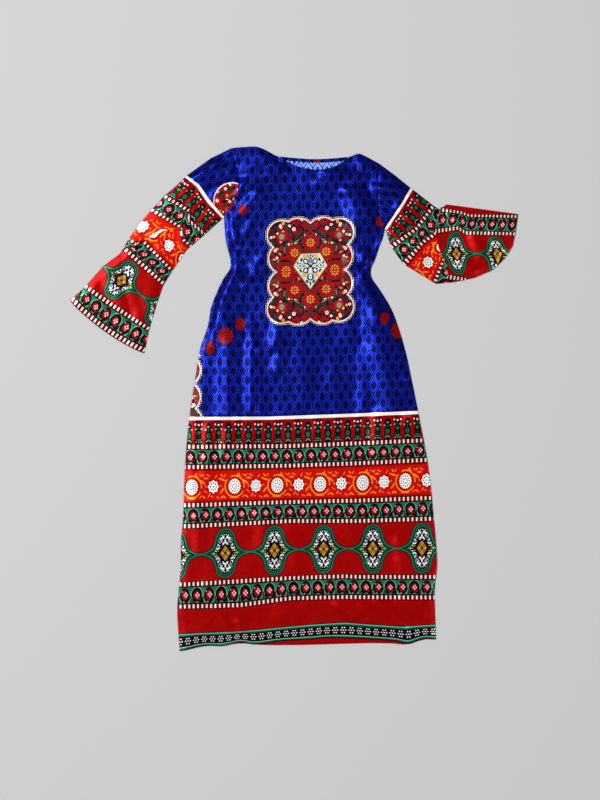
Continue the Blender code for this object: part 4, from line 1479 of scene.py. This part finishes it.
MEDALLION_BLOOMS = [(0.0, 79.0), (68.0, 4.0), (44.0, 52.0)]
SHIELD_FILL = [
    Petal(0.0, -16.0, 5.0, 9.0, 0, INK),
    Petal(0.0, -16.0, 3.4, 7.0, 0, LILAC),
    Petal(13.0, -13.0, 7.4, 9.0, 34, TEAL),
    Petal(13.0, 12.0, 7.4, 9.0, -34, TEAL),
    Petal(13.0, -13.0, 3.2, 5.0, 34, WHITE),
    Petal(13.0, 12.0, 3.2, 5.0, -34, WHITE),
    Petal(29.0, -1.0, 9.0, 7.6, 0, INK),
    Petal(29.0, -1.0, 7.0, 5.4, 0, BLUSH),
    Petal(29.0, -1.0, 3.6, 2.8, 0, TEAL),
    Petal(16.0, -26.5, 6.0, 5.4, -40, GOLD),
    Petal(25.0, -17.5, 3.0, 5.6, -30, INK),
    Petal(17.0, 25.0, 6.0, 6.2, 40, GOLD),
    Petal(27.0, 13.0, 2.6, 5.6, 34, INK),
    Petal(0.0, 31.0, 10.0, 10.0, 0, TEAL),
    Petal(0.0, 30.0, 4.2, 7.0, 0, WHITE),
    Petal(0.0, 30.0, 1.6, 3.4, 0, INK),
    Petal(9.0, 43.0, 3.6, 5.6, 30, TEAL),
    Petal(0.0, 49.0, 2.2, 6.0, 0, INK),
    Petal(6.0, -5.0, 2.2, 6.0, 40, INK),
    Petal(6.0, 6.0, 2.2, 6.0, -40, INK),
    Petal(0.0, 0.0, 4.0, 4.0, 0, INK),
    Petal(7.0, -27.0, 1.6, 5.0, 20, INK),
    Petal(36.0, -10.0, 2.6, 3.4, 0, TEAL),
    Petal(17.5, 0.0, 2.6, 2.2, 0, INK),
    Petal(8.0, 19.0, 1.5, 5.0, -16, INK),
    Petal(0.0, -29.0, 2.8, 3.0, 0, TEAL),
]
# Small sprigs scattered over a medallion's ground: each colour and where its share ends.
SPRIG = 8.5
SPRIG_COLOURS = [
    (0.0, DARK_GREEN),
    (0.3, INK),
    (0.52, RED),
    (0.68, MAROON),
    (0.84, BLUSH),
    (0.88, GOLD),
    (0.92, GREY_GREEN),
    (0.96, RED),
]


def stepped_ramp(cloth, value, steps):
    ramp = cloth.add("ShaderNodeValToRGB")
    ramp.color_ramp.interpolation = "CONSTANT"
    stops = ramp.color_ramp.elements
    stops[0].color = steps[0][1]
    stops[1].position, stops[1].color = steps[-1]
    for position, colour in steps[1:-1]:
        stops.new(position).color = colour
    cloth.feed(ramp, value)
    return ramp.outputs[0]


def lay_sprigs(cloth, place):
    cells = cloth.add("ShaderNodeTexVoronoi", voronoi_dimensions="2D")
    cloth.tree.links.new(place, cells.inputs["Vector"])
    cells.inputs["Scale"].default_value = 1 / SPRIG
    kind = cloth.parts(cells.outputs["Color"])[0]
    cloth.lay(cloth.within(cells.outputs["Distance"], 0.46, SPRIG), stepped_ramp(cloth, kind, SPRIG_COLOURS))


def medallion_edge(cloth, q):
    """How far a place is outside the scalloped edge, from the middle folded over both ways."""
    across, down = cloth.parts(q)
    core_x, core_y = MEDALLION_CORE
    shape = cloth.math("MAXIMUM", cloth.math("SUBTRACT", across, core_x), cloth.math("SUBTRACT", down, core_y))
    for lobe_x, lobe_y, radius in MEDALLION_LOBES:
        away = cloth.vector("LENGTH", cloth.moved(q, lobe_x, lobe_y))
        shape = cloth.math("MINIMUM", shape, cloth.math("SUBTRACT", away, radius))
    return shape


def lay_border(cloth, q, shape):
    """The white line round a medallion, with its row of small white teeth."""
    cloth.lay(cloth.math("MULTIPLY", cloth.within(shape, 7.5), 0.8), NAVY)
    grid = cloth.vector("WRAP", q, (2.3, 2.3, 1.0), (-2.3, -2.3, -1.0))
    teeth = cloth.within(cloth.vector("LENGTH", grid), 1.15)
    cloth.lay(cloth.math("MULTIPLY", teeth, cloth.within(shape, 4.6)), WHITE)
    cloth.lay(cloth.within(shape, -0.4), BLUSH)


SHIELD_RISE = -14.0


def lay_shield(cloth, place):
    """The white shield in the middle, with a broad top and a point below."""
    q = cloth.mirrored(place)
    across, down = cloth.parts(q)
    slope = cloth.math("MAXIMUM", cloth.math("MULTIPLY", down, 1 / 62), cloth.math("MULTIPLY", down, -1 / 78))
    shape = cloth.math("MULTIPLY_ADD", across, 1 / 45, slope)
    shape = cloth.math("MAXIMUM", shape, cloth.math("MULTIPLY", down, -1 / 33))
    cloth.lay(cloth.within(shape, 1.12, 40.0), MAROON)
    cloth.lay(cloth.within(shape, 1.06, 40.0), GOLD)
    cloth.lay(cloth.within(shape, 1.0, 40.0), PEARL)
    for petal in SHIELD_FILL:
        cloth.oval(q, petal.x, petal.y, petal.rx, petal.ry, petal.paint, turn=petal.turn)


def lay_medallion(cloth, x, y):
    place = cloth.moved(cloth.place, x, y)
    q = cloth.vector("ABSOLUTE", place)
    shape = medallion_edge(cloth, q)
    lay_border(cloth, q, shape)
    inside = cloth.within(shape, -3.2)
    rim = cloth.colour
    cloth.colour = RED
    cloth.lay(cloth.within(cloth.reach(q, 84.0, 108.0, 38.0, 40.0), 1.0, 38.0), MAROON)
    lay_sprigs(cloth, q)
    for petal in MEDALLION_LEAVES:
        cloth.oval(q, petal.x, petal.y, petal.rx, petal.ry, petal.paint, turn=petal.turn)
    for bloom_x, bloom_y in MEDALLION_BLOOMS:
        away, angle = cloth.round_the(q, bloom_x, bloom_y)
        cloth.scallops(away, angle, 24.0, 6, 0.1, DARK_GREEN)
        cloth.scallops(away, angle, 22.0, 6, 0.1, RED)
        cloth.dots_round(away, angle, 8.6, 8, 1.9, GOLD, long=1.9)
        cloth.oval(q, bloom_x, bloom_y, 2.2, 2.2, GOLD)
    lay_shield(cloth, cloth.moved(place, 0.0, SHIELD_RISE))
    fill = cloth.colour
    cloth.colour = rim
    cloth.lay(inside, fill)


CHEST_MEDALLION = (45.0, -402.0)
HIP_MEDALLION = (-378.0, -93.0)


def medallion_print():
    cloth = Print("medallion", ROYAL, BLUE_SATIN)
    lay_lattice(cloth)
    lay_medallion(cloth, *CHEST_MEDALLION)
    return cloth


def hip_medallion_print():
    cloth = Print("hip_medallion", ROYAL, BLUE_SATIN)
    lay_lattice(cloth)
    lay_medallion(cloth, *HIP_MEDALLION)
    return cloth


# The part of another medallion that the right armhole cuts off, on the sleeve's cap.
CAP_LOBE = (138.0, -46.0, 52.0)
CAP_FILL = [
    Petal(101.0, -34.0, 4.0, 13.0, -20, DARK_GREEN),
    Petal(112.0, -66.0, 4.0, 13.0, 38, DARK_GREEN),
    Petal(124.0, -30.0, 3.6, 11.0, 30, INK),
    Petal(130.0, -52.0, 3.4, 10.0, -30, INK),
    Petal(109.0, -16.0, 10.0, 9.0, 0, VERMILION),
    Petal(109.0, -16.0, 4.4, 4.0, 0, WHITE),
    Petal(117.0, -46.0, 9.0, 10.0, 0, BRICK),
    Petal(117.0, -46.0, 3.6, 3.8, 0, GOLD),
    Petal(127.0, -12.0, 7.0, 8.0, 0, RED),
]


def cap_medallion_print():
    cloth = Print("cap_medallion", ROYAL, BLUE_SATIN)
    lay_lattice(cloth)
    x, y, radius = CAP_LOBE
    shape = cloth.math("SUBTRACT", cloth.vector("LENGTH", cloth.moved(cloth.place, x, y)), radius)
    cloth.lay(cloth.within(shape, 0.0), BLUSH)
    inside = cloth.within(shape, -2.4)
    rim = cloth.colour
    cloth.colour = BRICK
    lay_sprigs(cloth, cloth.place)
    for petal in CAP_FILL:
        cloth.oval(cloth.place, petal.x, petal.y, petal.rx, petal.ry, petal.paint, turn=petal.turn)
    fill = cloth.colour
    cloth.colour = rim
    cloth.lay(inside, fill)
    cloth.bar(cloth.parts(cloth.place)[1], -1.0, 2.2, INK)
    return cloth


Rosette = namedtuple("Rosette", "x y rx ry")
ROSETTES = [
    Rosette(-191.0, -225.0, 24.0, 26.0),
    Rosette(-151.0, -258.0, 15.0, 19.0),
    Rosette(-234.0, -192.0, 14.0, 21.0),
    Rosette(252.0, -262.0, 15.0, 19.0),
    Rosette(289.0, -227.0, 22.0, 25.0),
    Rosette(-143.0, -577.0, 13.0, 17.0),
    Rosette(240.0, -533.0, 14.0, 17.0),
    Rosette(63.0, -307.0, 10.0, 6.0),
]


def rosettes_print():
    cloth = Print("rosettes", ROYAL, BLUE_SATIN)
    lay_lattice(cloth)
    speckle = cloth.add("ShaderNodeTexNoise")
    cloth.feed(speckle, cloth.place)
    speckle.inputs["Scale"].default_value = 0.24
    spots = cloth.math("GREATER_THAN", speckle.outputs[0], 0.5)
    base = cloth.colour
    cloth.colour = BRICK
    cloth.lay(spots, MAROON)
    cloth.lay(cloth.math("GREATER_THAN", speckle.outputs[0], 0.62), INK)
    fill = cloth.colour
    cloth.colour = base
    for rosette in ROSETTES:
        away, angle = cloth.round_the(cloth.place, rosette.x, rosette.y, squeeze=rosette.rx / rosette.ry)
        cloth.scallops(away, angle, rosette.rx, 10, 0.08, NAVY)
        cloth.scallops(away, angle, rosette.rx * 0.9, 10, 0.08, fill)
    return cloth


PRINTS = {
    "lattice": lattice_print,
    "medallion": medallion_print,
    "hip_medallion": hip_medallion_print,
    "cap_medallion": cap_medallion_print,
    "rosettes": rosettes_print,
    "stripe": stripe_print,
    "urn": urn_print,
    "dash": dash_print,
    "vine": vine_print,
    "flame": flame_print,
    "ogee": ogee_print,
    "plain": plain_print,
    "hem": hem_print,
    "wrong_side": wrong_side_print,
    "cut_edge": cut_edge_print,
}


def finish_named(name):
    """The material of a printed band, made once."""
    if name not in bpy.data.materials:
        return PRINTS[name]().finish()
    return bpy.data.materials[name]


def make_pieces():
    front, back = make_front(), make_back()
    sleeve_right, sleeve_left = make_sleeve_right(), make_sleeve_left()
    neck = strip_between("neck_hem_turn", NECK_HEM_ENDS, NECK_BACK, NECK_FRONT, 9.5, "rosettes", UNDER + 0.5)
    skirt = strip_between("skirt_hem_turn", SKIRT_HEM_ENDS, HEM_BACK, HEM_FRONT, 16.0, "plain", UNDER + 0.5)
    for piece, node, slot in (
        (front, "front", "front_cloth"),
        (back, "back", "back_cloth"),
        (sleeve_right, "sleeve_right", "sleeve_cloth"),
        (sleeve_left, "sleeve_left", "sleeve_cloth"),
        (neck, "neck_hem", "neck_hem_cloth"),
        (skirt, "skirt_hem", "skirt_hem_cloth"),
    ):
        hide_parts(node)
        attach(piece, "root")
    return front, back, sleeve_right, sleeve_left, neck, skirt


PICTURE_HEIGHT = 2.232  # how much of the floor the picture's height takes in
CAMERA_HEIGHT = 6.0
CAMERA_OVER = (0.016, -0.0028)
SENSOR = 36.0


def make_camera():
    data = bpy.data.cameras.new("camera")
    data.sensor_fit = "VERTICAL"
    data.sensor_height = SENSOR
    data.sensor_width = SENSOR
    data.lens = SENSOR * CAMERA_HEIGHT / PICTURE_HEIGHT
    data.clip_end = 50.0
    camera = bpy.data.objects.new("camera", data)
    camera.location = (*CAMERA_OVER, CAMERA_HEIGHT)
    bpy.context.scene.collection.objects.link(camera)
    bpy.context.scene.camera = camera


def area_light(name, place, size, power, target=(0.0, 0.0, 0.0)):
    data = bpy.data.lights.new(name, "AREA")
    data.shape = "RECTANGLE"
    data.size, data.size_y = size
    data.energy = power
    light = bpy.data.objects.new(name, data)
    light.location = place
    aim = bpy.data.objects.new(name + "_aim", None)
    aim.location = target
    way = aim.location - light.location
    bpy.data.objects.remove(aim)
    light.rotation_euler = way.to_track_quat("-Z", "Y").to_euler()
    bpy.context.scene.collection.objects.link(light)


def make_studio():
    floor_mesh = bpy.data.meshes.new("floor")
    half = 12.0
    floor_mesh.from_pydata([(-half, -half, 0), (half, -half, 0), (half, half, 0), (-half, half, 0)], [], [(0, 1, 2, 3)])
    floor = bpy.data.objects.new("floor", floor_mesh)
    floor.location.z = -0.0002
    bpy.context.scene.collection.objects.link(floor)
    material = bpy.data.materials.new("floor")
    material.use_nodes = True
    shader = material.node_tree.nodes["Principled BSDF"]
    shader.inputs["Base Color"].default_value = (0.52, 0.52, 0.52, 1)
    shader.inputs["Roughness"].default_value = 0.9
    floor_mesh.materials.append(material)
    world = bpy.data.worlds.new("studio")
    world.use_nodes = True
    world.node_tree.nodes["Background"].inputs["Color"].default_value = (1, 1, 1, 1)
    world.node_tree.nodes["Background"].inputs["Strength"].default_value = 0.16
    bpy.context.scene.world = world
    bpy.context.scene.view_settings.view_transform = "Standard"
    area_light("key", (-5.2, 2.4, 8.7), (3.0, 3.0), 1080)
    area_light("fill", (6.6, -3.6, 7.6), (2.6, 2.6), 330)


pieces = make_pieces()
make_camera()
make_studio()
